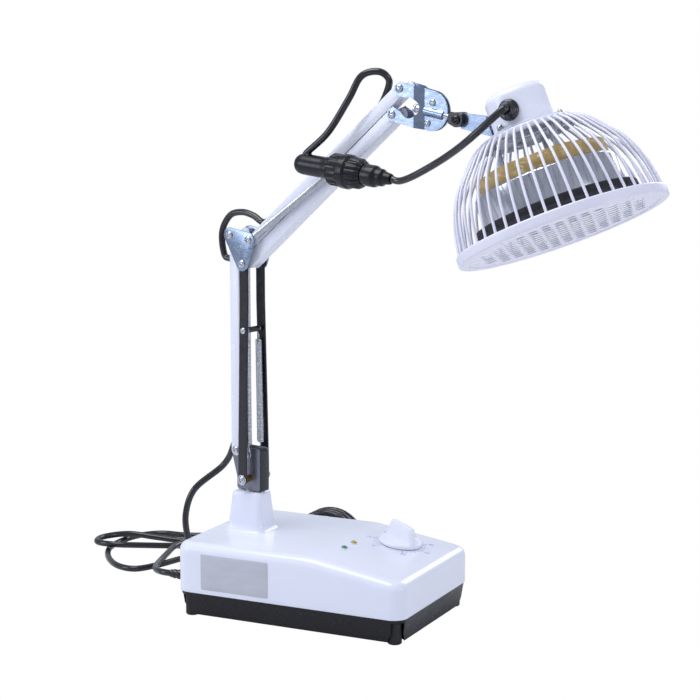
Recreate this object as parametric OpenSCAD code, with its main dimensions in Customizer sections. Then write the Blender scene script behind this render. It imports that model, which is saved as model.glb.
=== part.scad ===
/* [Base] */
// Length of the base, left to right
base_l = 232; // [200:1:280]
// Depth of the base, front to back
base_w = 156; // [140:1:190]
// Height of the parting line between tray and cover
parting_z = 24; // [20:1:30]
// Height of the flat part of the deck
deck_z = 71; // [64:1:85]
// Height of the deck at its right end
deck_low_z = 58; // [52:1:62]
// Where the deck starts to slope down, from the middle of the base
slope_x = 16; // [0:1:40]
// Wall of the moulded cover and tray
shell_t = 2.4; // [1.8:0.1:3]
// Radius of the base's upright corners
corner_r = 14; // [11:1:18]
// Radius of the deck's edge
deck_r = 9; // [6:0.5:10]
// Height that the feet lift the tray
foot_lift = 2.5; // [1.5:0.5:5]
// Diameter of a foot
foot_d = 13; // [10:0.5:15]

/* [Pedestal] */
// Height of the pedestal's top above the ground
pedestal_z = 108; // [98:1:120]
// Distance from the base's left end to the swivel axis
swivel_from_end = 39; // [34:1:50]
// Pedestal's size at its top, left to right
pedestal_l = 30; // [27:1:36]
// Pedestal's size at its top, front to back
pedestal_w = 26; // [24:1:32]
// Outer diameter of the socket tube
socket_d = 16; // [15:0.5:18]
// Diameter of the swivel stem
stem_d = 12; // [10:0.5:13]
// Turn of the whole arm about the stem as photographed
arm_yaw = -12; // [-60:1:60]

/* [Timer] */
// Diameter of the knob's skirt
knob_d = 41; // [34:1:46]
// Height of the knob's wing above the skirt
wing_h = 17; // [10:1:20]
// Diameter of the timer's shaft
shaft_d = 6; // [5:0.5:8]

/* [Lower arm] */
// Pivot to pivot length of the lower arm
lower_len = 205; // [180:1:240]
// Height of the front lower pivot
front_pivot_z = 120.5; // [119:0.5:124]
// Width of a lower strap
strap_w = 10; // [9:0.5:11]
// Thickness of a lower strap
strap_t = 2; // [1.5:0.25:2.5]
// Distance of the strap's outer face from the middle at its foot
strap_out = 17; // [16:0.5:19]
// Distance of the strap's outer face from the middle at the elbow
strap_in = 12.8; // [12.4:0.1:13]
// Depth of the rear channel
rear_depth = 11; // [9:0.5:12]
// Width of the rear channel over its two legs
rear_w = 17; // [16.6:0.2:18]
// Height of the spreader above the front lower pivot
spreader_up = 142; // [110:1:150]

/* [Upper arm] */
// Pivot to pivot length of the upper arm
upper_len = 220; // [190:1:250]
// Slope of the upper arm as photographed
upper_angle = 39.8; // [10:0.1:40.2]
// Depth of each upper bar, across its pivots
bar_depth = 11.4; // [9:0.2:11.4]
// Width of each upper bar over its two legs
bar_w = 14.4; // [13:0.2:15]
// Wall of the folded channels
channel_t = 1.2; // [1:0.1:1.5]
// Thickness of the elbow and wrist plates
plate_t = 1.6; // [1.2:0.1:2]
// Diameter of every pivot pin
pin_d = 4; // [3:0.5:4]

/* [Head] */
// Diameter of the guard's rim
rim_d = 182; // [160:1:200]
// Height of the head from the rim to the top of the cap
head_h = 126; // [116:1:136]
// Diameter of the cap
cap_d = 54; // [48:1:58]
// Diameter of the ring that holds the cage wires
ring_d = 86; // [80:1:92]
// Number of cage wires
wire_count = 48; // [24:1:56]
// Diameter of a cage wire
wire_d = 2.4; // [2:0.1:3]
// Diameter of the heater cup
cup_d = 122; // [110:1:128]
// Diameter of the mineral plate
mineral_d = 141; // [136:1:148]
// Backward tilt of the head as photographed
head_tilt = 24; // [0:1:40]
// Diameter of the round rod in the wrist
rod_d = 6; // [5:0.5:7]

/* [Leads] */
// Diameter of the leads
lead_d = 6.2; // [5.5:0.1:7]

/* [Hidden] */
$fn = 48;
swivel_x = -base_l / 2 + swivel_from_end;
stem_gap = 0.05;                 // running clearance on radius, stem in socket
pin_gap = 0.04;                  // running clearance on radius, pins in plates
face_gap = 0.3;                  // side clearance between moving faces
seam = 0.02;                     // straight sides of a bar start this far inside its round ends
cheek_out = 7;                   // half width over the bracket's cheeks
cheek_t = 1.5;
tray_top = parting_z;
tray_inset = 4.4;
foot_in = 12;                    // foot's distance from the base's two edges
foot_x = base_l / 2 - foot_in;
foot_y = base_w / 2 - foot_in;

// pivots in the arm's plane: [forward, up]
P2B = [3, front_pivot_z];
P1B = P2B + [-15, 26];
P2T = P2B + [0, lower_len];
P1T = P1B + [0, lower_len];
P3 = P2T + [8, 22.5];
upper_dir = [cos(upper_angle), sin(upper_angle)];
upper_nrm = [-upper_dir.y, upper_dir.x];
Q2 = P2T + upper_len * upper_dir;
Q3 = P3 + upper_len * upper_dir;
spreader = P2B + [0, spreader_up];
lower_anchor = P2B + [1.5, 23];
upper_anchor_at = 150;           // along the lower bar from its elbow pivot
upper_anchor = P2T + upper_anchor_at * upper_dir;
link_out = rear_w / 2;
bar_out = bar_w / 2;
plate_in = strap_in + face_gap;  // inner face of the elbow plates
wrist_in = bar_out + face_gap;   // inner face of the wrist plates at the bars
lower_spring_v = 8.4;
lower_spring_r = 3.4;
upper_spring_v = bar_out + 0.5 + 3.4;
spring_wire = 1.2;

// wrist, fork and head in the arm's plane
clamp_c = Q2 + [37, 3.6];        // middle of the clamping lobe
rod_slope = -10.6;
rod_dir = [cos(rod_slope), sin(rod_slope)];
rod_a = clamp_c + [-18.9, 2.1];  // left end of the rod
tilt_pivot = rod_a + 48.5 * rod_dir;
head_o = tilt_pivot + [104.9, -90.3]; // middle of the rim's lower edge
rim_h = 9;
ring_h = 90;
cap_low = ring_h + 2;
cup_low = 22;
cup_top = 49;

function to3(p, v = 0) = [p.x, v, p.y];

// the object's own box stands centred on the origin: its left and back come from the base, its right and front
// from the guard's rim
rim_axis = [-sin(head_tilt) * cos(arm_yaw), -sin(head_tilt) * sin(arm_yaw), cos(head_tilt)];
rim_centre = [swivel_x + head_o.x * cos(arm_yaw), head_o.x * sin(arm_yaw)] + [rim_axis.x, rim_axis.y];
box_right = rim_centre.x + rim_d / 2 * sqrt(1 - rim_axis.x * rim_axis.x);
box_front = rim_centre.y - rim_d / 2 * sqrt(1 - rim_axis.y * rim_axis.y);
origin_x = (box_right - base_l / 2) / 2;
origin_y = (box_front + base_w / 2) / 2;
module placed() {
    translate([-origin_x, -origin_y, 0]) children();
}
module arm_frame() {
    placed() translate([swivel_x, 0, 0]) rotate([0, 0, arm_yaw]) children();
}
module head_frame() {
    arm_frame() translate(to3(head_o)) rotate([0, -head_tilt, 0]) children();
}
// a cylinder across the arm, from v0 to v1
module across(p, v0, v1, d) {
    translate([p.x, v0, p.y]) rotate([-90, 0, 0]) cylinder(h = v1 - v0, d = d);
}
// extrudes an outline drawn in the arm's plane from v0 to v1
module plate(v0, v1) {
    translate([0, v1, 0]) rotate([90, 0, 0]) linear_extrude(v1 - v0) children();
}
// a flat bar from v0 to v1 with round ends at p and q, whose radii may differ
module bar(v0, v1, p, rp, q, rq) {
    d = q - p;
    a = atan2(d.y, d.x);
    s = acos((rp - rq) / norm(d));
    u = [cos(a + s), sin(a + s)];
    v = [cos(a - s), sin(a - s)];
    union() {
        across(p, v0, v1, 2 * rp);
        across(q, v0, v1, 2 * rq);
        plate(v0, v1) polygon([p + (rp - seam) * u, q + (rq - seam) * u, q + (rq - seam) * v, p + (rp - seam) * v]);
    }
}
// rounded rectangle with its corners as true arcs
module round_rect(l, w, r) {
    square([l - 2 * r, w], center = true);
    square([l, w - 2 * r], center = true);
    for (x = [-1, 1], y = [-1, 1]) translate([x * (l / 2 - r), y * (w / 2 - r)]) circle(r);
}

// smooth curve through hand-picked points: n steps between neighbours
function cr(p, i, t) =
    let (a = p[max(i - 1, 0)], b = p[i], c = p[i + 1], d = p[min(i + 2, len(p) - 1)])
    0.5 * (2 * b + (c - a) * t + (2 * a - 5 * b + 4 * c - d) * t * t + (3 * b - a - 3 * c + d) * t * t * t);
function curve(p, n) = concat([for (i = [0:len(p) - 2], k = [0:n - 1]) cr(p, i, k / n)], [p[len(p) - 1]]);
function unit(v) = v / norm(v);
function tangent(p, i) = unit(p[min(i + 1, len(p) - 1)] - p[max(i - 1, 0)]);
// ring directions carried along the path without twist
function carried(p, u, i = 0) = i >= len(p) ? [] :
    let (t = tangent(p, i), w = unit(u - (u * t) * t)) concat([w], carried(p, w, i + 1));
function ring_pts(c, t, u, r, sides) =
    let (v = cross(t, u)) [for (k = [0:sides - 1]) c + r * (cos(360 * k / sides) * u + sin(360 * k / sides) * v)];
// a tube of radius r swept along the points p from one of them to another, closed by flat ends; u0 points off
// the path at its start
module tube(p, r, sides, u0, first = 0, last = undef) {
    end = is_undef(last) ? len(p) - 1 : last;
    dirs = carried(p, u0);
    pts = [for (i = [first:end]) each ring_pts(p[i], tangent(p, i), dirs[i], r, sides)];
    n = end - first + 1;
    sides_f = [for (i = [0:n - 2], k = [0:sides - 1])
        let (a = i * sides + k, b = i * sides + (k + 1) % sides) each [[a, b, b + sides], [a, b + sides, a + sides]]];
    cap0 = [for (k = [1:sides - 2]) [0, k + 1, k]];
    cap1 = [for (k = [1:sides - 2]) let (o = (n - 1) * sides) [o, o + k, o + k + 1]];
    polyhedron(points = pts, faces = [for (f = concat(sides_f, cap0, cap1)) [f[0], f[2], f[1]]]);
}
// path of a close-wound spring from a to b in space: straight for one wire diameter, curls, straight again
function spring_path(a, b, r, curls, tail) =
    let (z = unit(b - a), x = unit(cross(z, [0, 1, 0.001])), y = cross(z, x), l = norm(b - a),
         body = l - 2 * tail, steps = 8 * curls)
    concat([a, a + z * (tail - spring_wire)],
           [for (k = [0:steps]) let (f = k / steps, g = min(1, min(k, steps - k) / 4))
                a + z * (tail + f * body) + g * r * (cos(45 * k) * x + sin(45 * k) * y)],
           [b - z * (tail - spring_wire), b]);

// ---------------------------------------------------------------- base
module corner_post(x, y, z, r, e) {
    translate([x, y, z - e]) rotate_extrude($fn = 32) {
        translate([r - e, 0]) intersection() { circle(e, $fn = 32); square(e); }
        square([r - e, e]);
    }
}
module cover_hull(grow) {
    l = base_l / 2 + grow;
    w = base_w / 2 + grow;
    r = corner_r + grow;
    e = deck_r + grow;
    hull() {
        translate([0, 0, parting_z]) linear_extrude(1)
            for (x = [-1, 1], y = [-1, 1]) translate([x * (l - r), y * (w - r)]) circle(r, $fn = 32);
        for (y = [-1, 1]) {
            corner_post(-(l - r), y * (w - r), deck_z + grow, r, e);
            corner_post(slope_x, y * (w - r), deck_z + grow, r, e);
            corner_post(l - r, y * (w - r), deck_low_z + grow, r, e);
        }
    }
}
module pedestal_slice(z, l, w, r) {
    translate([swivel_x, 0, z]) linear_extrude(0.01)
        for (x = [-1, 1], y = [-1, 1]) translate([x * (l / 2 - r), y * (w / 2 - r)]) circle(r, $fn = 24);
}
module pedestal() {
    hull() {
        pedestal_slice(deck_z + 6, pedestal_l + 7, pedestal_w + 7, 7);
        pedestal_slice(pedestal_z - 3, pedestal_l + 0.6, pedestal_w + 0.6, 5.5);
        pedestal_slice(pedestal_z - 0.9, pedestal_l - 1.2, pedestal_w - 1.2, 5);
        pedestal_slice(pedestal_z - 0.01, pedestal_l - 4, pedestal_w - 4, 4);
    }
    hull() {
        pedestal_slice(deck_z - deck_r, pedestal_l + 20, pedestal_w + 20, 12);
        pedestal_slice(deck_z, pedestal_l + 17, pedestal_w + 17, 11);
        pedestal_slice(deck_z + 1.6, pedestal_l + 12, pedestal_w + 12, 9);
    }
    hull() {
        pedestal_slice(deck_z + 1.6, pedestal_l + 12, pedestal_w + 12, 9);
        pedestal_slice(deck_z + 6, pedestal_l + 7, pedestal_w + 7, 7);
    }
}
knob_x = 65;
knob_y = 30;
deck_fall = (deck_z - deck_low_z) / (base_l / 2 - corner_r - slope_x);
deck_tilt = atan(deck_fall);
deck_line = deck_z - deck_r + deck_r / cos(deck_tilt);   // sloping face carried on to where its edge arc starts
function deck_at(x) = deck_line - (x - slope_x - corner_r + deck_r) * deck_fall;
green_x = 34;
green_y = -25;
yellow_y = -5;
lamp_d = 6;
module on_deck(x, y) {
    translate([x, y, deck_at(x)]) rotate([0, deck_tilt, 0]) children();
}
relief_y = -6;                   // mains lead's exit in the left end
relief_z = 16.5;
relief_l = 50;
lead_in_y = -14;                 // head lead's entry in the left end
lead_in_z = 38;
screw_boss_x = base_l / 2 - 30;
screw_boss_y = base_w / 2 - 14;
module base_cover() {
    color("#e9ecf8") placed() difference() {
        union() {
            difference() {
                cover_hull(0);
                translate([0, 0, -0.01]) cover_hull(-shell_t);
                translate([0, 0, parting_z - 1]) linear_extrude(shell_t + 1.5)
                    round_rect(base_l - 2 * shell_t, base_w - 2 * shell_t, corner_r - shell_t);
            }
            pedestal();
            intersection() {
                cover_hull(-shell_t / 2);
                for (x = [-1, 1], y = [-1, 1]) translate([x * screw_boss_x, y * screw_boss_y, parting_z])
                    cylinder(h = deck_z, d = 8);
            }
        }
        translate([swivel_x, 0, deck_z - deck_r - 1]) cylinder(h = pedestal_z, d = socket_d);
        on_deck(knob_x, knob_y) translate([0, 0, -20]) cylinder(h = 40, d = shaft_d + 3);
        for (y = [green_y, yellow_y]) on_deck(green_x, y) translate([0, 0, -20]) cylinder(h = 40, d = lamp_d);
        for (x = [-1, 1], y = [-1, 1]) translate([x * screw_boss_x, y * screw_boss_y, parting_z - 1])
            cylinder(h = 14, d = 3);
        translate([-base_l / 2 - 10, lead_in_y, lead_in_z]) rotate([0, 90, 0]) cylinder(h = 20, d = 11);
    }
}
module tray_block(inset, z0, z1, grow) {
    hull() {
        translate([0, 0, z1 - 0.01]) linear_extrude(0.01)
            for (x = [-1, 1], y = [-1, 1])
                translate([x * (base_l / 2 - corner_r), y * (base_w / 2 - corner_r)])
                    circle(corner_r - 1 + grow, $fn = 32);
        translate([0, 0, z0]) linear_extrude(0.01)
            for (x = [-1, 1], y = [-1, 1])
                translate([x * (base_l / 2 - corner_r), y * (base_w / 2 - corner_r)])
                    circle(corner_r - inset + grow, $fn = 32);
    }
}
module base_tray() {
    color("#15131c") placed() difference() {
        union() {
            difference() {
                tray_block(tray_inset, foot_lift, tray_top, 0);
                translate([0, 0, foot_lift + shell_t]) tray_block(tray_inset, 0, tray_top, -shell_t);
            }
            for (x = [-1, 1], y = [-1, 1]) intersection() {
                translate([x * foot_x, y * foot_y, foot_lift]) cylinder(h = tray_top - foot_lift, d = foot_d + 10);
                tray_block(tray_inset, foot_lift, tray_top, 0);
            }
            for (x = [-1, 1], y = [-1, 1]) translate([x * screw_boss_x, y * screw_boss_y, foot_lift])
                cylinder(h = tray_top - foot_lift, d = 9);
        }
        for (x = [-1, 1], y = [-1, 1]) {
            translate([x * foot_x, y * foot_y, -1]) cylinder(h = tray_top - 3 + 1, d = foot_d + 4);
            translate([x * (foot_x + foot_d / 2), y * (foot_y + foot_d / 2), -1])
                cylinder(h = tray_top - 3 + 1, d = foot_d);
            translate([x * screw_boss_x, y * screw_boss_y, -1]) cylinder(h = 40, d = 3.6);
            translate([x * screw_boss_x, y * screw_boss_y, -1]) cylinder(h = foot_lift + 1 + 8, d = 7);
        }
        translate([-base_l / 2 - 10, relief_y, relief_z]) rotate([0, 90, 0]) cylinder(h = 20, d = 11);
    }
}
module rubber_feet() {
    color("#1b1b20") placed() for (x = [-1, 1], y = [-1, 1]) translate([x * foot_x, y * foot_y, 0]) rotate_extrude()
        polygon([[0, 0], [foot_d / 2 - 1, 0], [foot_d / 2, 1], [foot_d / 2, tray_top - 3], [0, tray_top - 3]]);
}
module cover_screws() {
    color("silver") placed() for (x = [-1, 1], y = [-1, 1]) translate([x * screw_boss_x, y * screw_boss_y, foot_lift + 5])
        rotate_extrude() polygon([[0, 0], [3, 0], [3, 3], [1.5, 3], [1.5, parting_z + 2], [0, parting_z + 2]]);
}
ballast_l = 170;
ballast_w = 110;
ballast_t = 15;
module ballast_plate() {
    color("#4a4a4e") placed() translate([0, 0, foot_lift + shell_t]) linear_extrude(ballast_t)
        difference() {
            round_rect(ballast_l, ballast_w, 6);
            for (x = [-1, 1]) translate([x * (ballast_l / 2 - 10), 0]) circle(2.5);
        }
}
socket_low = deck_z - deck_r - 9;
module socket_tube() {
    color("#8d9096") placed() translate([swivel_x, 0, 0]) difference() {
        translate([0, 0, socket_low]) cylinder(h = pedestal_z - 1 - socket_low, d = socket_d);
        translate([0, 0, socket_low + 2]) cylinder(h = pedestal_z, d = stem_d + 2 * stem_gap);
    }
}
timer_l = 40;
timer_h = 24;
module timer_body() {
    color("#d9d9d4") placed() on_deck(knob_x, knob_y) translate([0, 0, -shell_t - 0.6]) difference() {
        union() {
            translate([0, 0, -timer_h]) linear_extrude(timer_h) round_rect(timer_l, timer_l, 4);
            cylinder(h = 2.5, d = shaft_d + 2.6);
        }
        translate([0, 0, -timer_h + 2]) cylinder(h = timer_h + 5, d = shaft_d + 2 * stem_gap);
    }
}
module timer_shaft() {
    color("#c2b280") placed() on_deck(knob_x, knob_y) translate([0, 0, -shell_t - 0.6 - timer_h + 2.2])
        cylinder(h = timer_h + shell_t + 6.6, d = shaft_d);
}
module timer_knob() {
    color("#eef0fb") placed() on_deck(knob_x, knob_y) translate([0, 0, 0.6]) difference() {
        union() {
            rotate_extrude() polygon([[0, 0], [knob_d / 2, 0], [knob_d / 2, 2.2], [knob_d / 2 - 1.2, 4], [0, 5]]);
            rotate([0, 0, -26]) intersection() {
                hull() {
                    for (x = [-1, 1]) {
                        translate([x * (knob_d / 2 - 5), 0, 1]) cylinder(h = 1, r = 4.6, $fn = 24);
                        translate([x * (knob_d / 2 - 9), 0, wing_h + 1.5]) sphere(3, $fn = 24);
                    }
                }
                cylinder(h = 40, d = knob_d - 0.6);
            }
        }
        translate([0, 0, -1]) cylinder(h = 9, d = shaft_d);
    }
}
module lamp_lens(y) {
    on_deck(green_x, y) translate([0, 0, -6]) rotate_extrude()
        polygon([[0, 0], [lamp_d / 2, 0], [lamp_d / 2, 7], [lamp_d / 2 * 0.8, 8], [lamp_d / 2 * 0.4, 8.6], [0, 8.8]]);
}
module heating_lamp_lens() { color("#0f8a4a") placed() lamp_lens(green_y); }
module timer_lamp_lens() { color("#b8a22c") placed() lamp_lens(yellow_y); }
module lamp_board() {
    color("#2c6b4a") placed() on_deck(green_x, (green_y + yellow_y) / 2) translate([-8, -22, -7.6]) cube([16, 44, 1.6]);
}
// a moulded strain relief seated in a wall, tapering to the lead over the length l; its two flanges stand
// clear of the wall by gap
module strain_relief(l, root_d, gap) {
    rotate_extrude() polygon([[lead_d / 2, -gap - 2.4], [7, -gap - 2.4], [7, -gap], [5.4, -gap], [5.4, shell_t + gap],
        [root_d / 2, shell_t + gap], [root_d / 2, shell_t + gap + 2], [lead_d / 2 + 0.9, shell_t + l],
        [lead_d / 2, shell_t + l]]);
}
tray_side_x = -base_l / 2 + 2;   // the tray's left wall at the height of the strain relief
module strain_reliefs() {
    color("#16161a") placed() {
        translate([tray_side_x + shell_t, relief_y, relief_z]) rotate([0, -90, 0]) strain_relief(relief_l, 13.6, 2.1);
        translate([-base_l / 2 + shell_t, lead_in_y, lead_in_z]) rotate([0, -90, 0]) strain_relief(10, 14, 0.2);
    }
}

// ---------------------------------------------------------------- bracket
bracket_front = P2B.x + 13;
bracket_low = pedestal_z + 1;
bracket_top = 150;
module cheek_outline() {
    translate(P1B) circle(6.5);
    polygon([P1B + [-6.5, 0], [P1B.x - 4.5, P1B.y - 10], [P1B.x, P1B.y - 26], [P1B.x, bracket_low],
             [bracket_front, bracket_low], [bracket_front, bracket_top - 2], [bracket_front - 2, bracket_top],
             [P1B.x + 3, bracket_top]]);
}
module swivel_bracket() {
    color("#8f909c") arm_frame() difference() {
        union() {
            for (s = [0, 1]) mirror([0, s, 0]) plate(cheek_out - cheek_t, cheek_out) cheek_outline();
            translate([bracket_front - cheek_t, -cheek_out + 0.1, bracket_low])
                cube([cheek_t, 2 * cheek_out - 0.2, bracket_top - 3 - bracket_low]);
            translate([P1B.x + 1, -cheek_out + 0.1, bracket_low])
                cube([bracket_front - P1B.x - 1.5, 2 * cheek_out - 0.2, 2]);
        }
        across(P1B, -20, 20, pin_d);
        across(P2B, -20, 20, pin_d + 2 * pin_gap);
        across(lower_anchor, -20, 20, 3);
    }
}
module swivel_stem() {
    color("#9a9ca4") arm_frame() {
        translate([0, 0, socket_low + 2.5]) cylinder(h = bracket_low - socket_low - 2.5, d = stem_d);
        translate([0, 0, pedestal_z + 0.1]) cylinder(h = bracket_low - pedestal_z - 0.1, d = stem_d + 1);
    }
}
// a pin across the arm with a domed head at its near end and a nut at its far end
module headed_pin(p, d, reach, head_d = 7, head_h = 2.2) {
    across(p, -reach, reach, d);
    translate([p.x, -reach, p.y]) rotate([90, 0, 0]) rotate_extrude()
        polygon([[0, 0], [head_d / 2, 0], [head_d / 2 * 0.9, head_h * 0.55], [head_d / 2 * 0.5, head_h], [0, head_h]]);
    translate([p.x, reach, p.y]) rotate([-90, 0, 0]) cylinder(h = head_h, d = head_d, $fn = 6);
}
module bracket_pins() {
    color("#d5d7dc") arm_frame() {
        headed_pin(P1B, pin_d, link_out + 0.1);
        headed_pin(lower_anchor, 3, lower_spring_v + 4.2, 6, 1.6);
    }
}

// ---------------------------------------------------------------- lower arm
module strap_profile() {
    polygon([[strap_out, P2B.y - 8], [strap_out, P2B.y + 14], [strap_in, P2T.y - 36], [strap_in, P2T.y + 8],
             [strap_in - strap_t, P2T.y + 8], [strap_in - strap_t, P2T.y - 36], [strap_out - strap_t, P2B.y + 14],
             [strap_out - strap_t, P2B.y - 8]]);
}
module strap() {
    difference() {
        intersection() {
            bar(strap_in - strap_t - 1, strap_out + 1, P2B, strap_w / 2, P2T, strap_w / 2);
            translate([P2B.x - 10, 0, 0]) rotate([90, 0, 90]) linear_extrude(20) strap_profile();
        }
        across(P2B, 0, 30, pin_d);
        across(P2T, 0, 30, pin_d + 2 * pin_gap);
        across(spreader, 0, 30, 3);
    }
}
module front_straps() { color("#121118") arm_frame() for (s = [0, 1]) mirror([0, s, 0]) strap(); }
module front_lower_pin() { color("#d5d7dc") arm_frame() headed_pin(P2B, pin_d, strap_out + 0.8, 7.6, 2.4); }
module strap_bushes() {
    color("#b98a3e") arm_frame() for (s = [0, 1]) mirror([0, s, 0]) difference() {
        across(P2B, cheek_out + face_gap, strap_out - strap_t, 7);
        across(P2B, 0, 30, pin_d);
    }
}
module strap_washers() {
    color("#d9dbe0") arm_frame() for (s = [0, 1]) mirror([0, s, 0]) difference() {
        across(P2B, strap_out, strap_out + 0.8, 10);
        across(P2B, 0, 30, pin_d);
    }
}
spreader_reach = strap_in + (strap_out - strap_in) * (lower_len - 36 - spreader_up) / (lower_len - 50);
module spring_spreader() {
    color("#17161c") arm_frame() {
        across(spreader, -spreader_reach + strap_t + 0.15, spreader_reach - strap_t - 0.15, 5.4);
        headed_pin(spreader, 3, spreader_reach + 0.15, 6, 1.8);
    }
}
module rear_link() {
    color("#eceffa") arm_frame() difference() {
        union() {
            for (s = [0, 1]) mirror([0, s, 0]) bar(link_out - channel_t, link_out, P1B, rear_depth / 2, P1T, rear_depth / 2);
            translate([P1B.x + rear_depth / 2 - channel_t, -link_out + 0.1, P1B.y + 24])
                cube([channel_t, rear_w - 0.2, lower_len - 24]);
        }
        across(P1B, -20, 20, pin_d + 2 * pin_gap);
        across(P1T, -20, 20, pin_d + 2 * pin_gap);
    }
}

// ---------------------------------------------------------------- elbow
elbow_r = 7;
module elbow_plate() {
    difference() {
        union() {
            bar(plate_in, plate_in + plate_t, P1T, elbow_r, P3, elbow_r);
            bar(plate_in, plate_in + plate_t, P3, elbow_r, P2T, elbow_r);
            bar(plate_in, plate_in + plate_t, P2T, elbow_r, P1T, elbow_r);
            plate(plate_in, plate_in + plate_t) polygon([P1T, P3, P2T]);
        }
        for (p = [P1T, P3, P2T]) across(p, 0, 30, pin_d);
    }
}
module elbow_plates() { color("#6f86a5") arm_frame() for (s = [0, 1]) mirror([0, s, 0]) elbow_plate(); }
module elbow_pins() {
    color("#d5d7dc") arm_frame() for (p = [P1T, P2T, P3]) headed_pin(p, pin_d, plate_in + plate_t, 7.4, 2.4);
}
module elbow_spacer(p, v) {
    for (s = [0, 1]) mirror([0, s, 0]) difference() {
        across(p, v + face_gap, plate_in, 6.4);
        across(p, 0, 30, pin_d);
    }
}
module elbow_spacers() {
    color("#aab0ba") arm_frame() {
        elbow_spacer(P1T, link_out);
        elbow_spacer(P3, bar_out);
        for (s = [0, 1]) mirror([0, s, 0]) difference() {
            across(P2T, bar_out + face_gap, strap_in - strap_t - face_gap, 6.4);
            across(P2T, 0, 30, pin_d);
        }
    }
}

// ---------------------------------------------------------------- upper arm
// a folded channel between two pivots; side -1 puts its web below, 1 above
module channel(p, q, side, web_from, web_to) {
    l = norm(q - p);
    translate(to3(p)) rotate([0, -upper_angle, 0]) difference() {
        union() {
            for (s = [0, 1]) mirror([0, s, 0]) bar(bar_out - channel_t, bar_out, [0, 0], bar_depth / 2, [l, 0], bar_depth / 2);
            translate([web_from, -bar_out + 0.1, side > 0 ? bar_depth / 2 - channel_t : -bar_depth / 2])
                cube([web_to - web_from, bar_w - 0.2, channel_t]);
        }
        for (x = [0, l]) across([x, 0], -20, 20, pin_d + 2 * pin_gap);
    }
}
module lower_bar() {
    color("#e6e9f6") arm_frame() difference() {
        channel(P2T, Q2, -1, 0, upper_len);
        across(upper_anchor, -20, 20, 3);
    }
}
module upper_bar() { color("#e6e9f6") arm_frame() channel(P3, Q3, -1, 0, upper_len); }
module upper_spring_pin() {
    color("#c9ccd2") arm_frame() headed_pin(upper_anchor, 3, upper_spring_v + 4.4, 6, 1.6);
}

// ---------------------------------------------------------------- springs
curls = 19;
lower_spring_a = to3(lower_anchor + 1.5 * unit(spreader - lower_anchor), lower_spring_v);
lower_spring_b = to3(spreader - 2.7 * unit(spreader - lower_anchor), lower_spring_v);
upper_spring_a = to3(P3 + 3.2 * unit(upper_anchor - P3), upper_spring_v);
upper_spring_b = to3(upper_anchor - 1.5 * unit(upper_anchor - P3), upper_spring_v);
lower_spring_path = spring_path(lower_spring_a, lower_spring_b, lower_spring_r - spring_wire / 2, curls, 9);
upper_spring_path = spring_path(upper_spring_a, upper_spring_b, 2.8, curls, 12);
echo(lower_spring_pitch_gap = norm(lower_spring_path[12] - lower_spring_path[4]) - spring_wire);
echo(upper_spring_pitch_gap = norm(upper_spring_path[12] - upper_spring_path[4]) - spring_wire);
module spring(path) { color("#c8ccd4") tube(path, spring_wire / 2, 6, [0, 1, 0.3]); }
module lower_springs() { arm_frame() for (s = [0, 1]) mirror([0, s, 0]) spring(lower_spring_path); }
module upper_springs() { arm_frame() for (s = [0, 1]) mirror([0, s, 0]) spring(upper_spring_path); }

// ---------------------------------------------------------------- wrist
lobe_r = 17.3;
claw_r = 5.6;
claw_gap_r = 9;
clamp_in = 0.9;                  // half gap between the clamped plates
clamp_1 = clamp_c + [1.8, 6.9];
clamp_2 = clamp_c + [-3.6, -10.6];
claw_gap = clamp_c + [-19, 2.4];
module wrist_profile() {
    b = clamp_c.x - 7;
    polygon([[Q2.x - 12, wrist_in], [b - 7, wrist_in], [b, clamp_in], [clamp_c.x + 30, clamp_in],
             [clamp_c.x + 30, clamp_in + plate_t], [b + 0.4, clamp_in + plate_t], [b - 6.6, wrist_in + plate_t],
             [Q2.x - 12, wrist_in + plate_t]]);
}
module along_rod(a, b, d) {
    p = rod_a + a * rod_dir;
    translate(to3(p)) rotate([0, 90 - rod_slope, 0]) cylinder(h = b - a, d = d);
}
boss_from = 12;
boss_to = 32;
module wrist_plate() {
    difference() {
        union() {
            intersection() {
                bar(0, 20, clamp_c, lobe_r, Q3, claw_r);
                linear_extrude(600) wrist_profile();
            }
            intersection() {
                bar(0, 20, clamp_c, lobe_r, Q2, claw_r);
                linear_extrude(600) wrist_profile();
            }
            intersection() {
                along_rod(boss_from, boss_to, rod_d + 2 * plate_t);
                translate([0, clamp_in, 0]) cube([600, 20, 600]);
            }
        }
        along_rod(-5, 60, rod_d + 0.1);
        plate(-1, 21) translate(claw_gap) circle(claw_gap_r);
        plate(-1, 21) polygon([claw_gap + [1, claw_gap_r - 0.5], claw_gap + [1, 0.5 - claw_gap_r],
                               Q2 + [2, claw_r + 1], Q3 + [-2, -claw_r - 1]]);
        for (p = [Q2, Q3]) across(p, -1, 20, pin_d);
        for (p = [clamp_1, clamp_2]) across(p, -1, 20, 3);
    }
}
module wrist_plates() { color("#8aa0bd") arm_frame() for (s = [0, 1]) mirror([0, s, 0]) wrist_plate(); }
module wrist_screws() {
    color("#d5d7dc") arm_frame() {
        for (p = [Q2, Q3]) headed_pin(p, pin_d, wrist_in + plate_t, 7.4, 2.4);
        for (p = [clamp_1, clamp_2]) headed_pin(p, 3, clamp_in + plate_t, 6, 2);
    }
}

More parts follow.
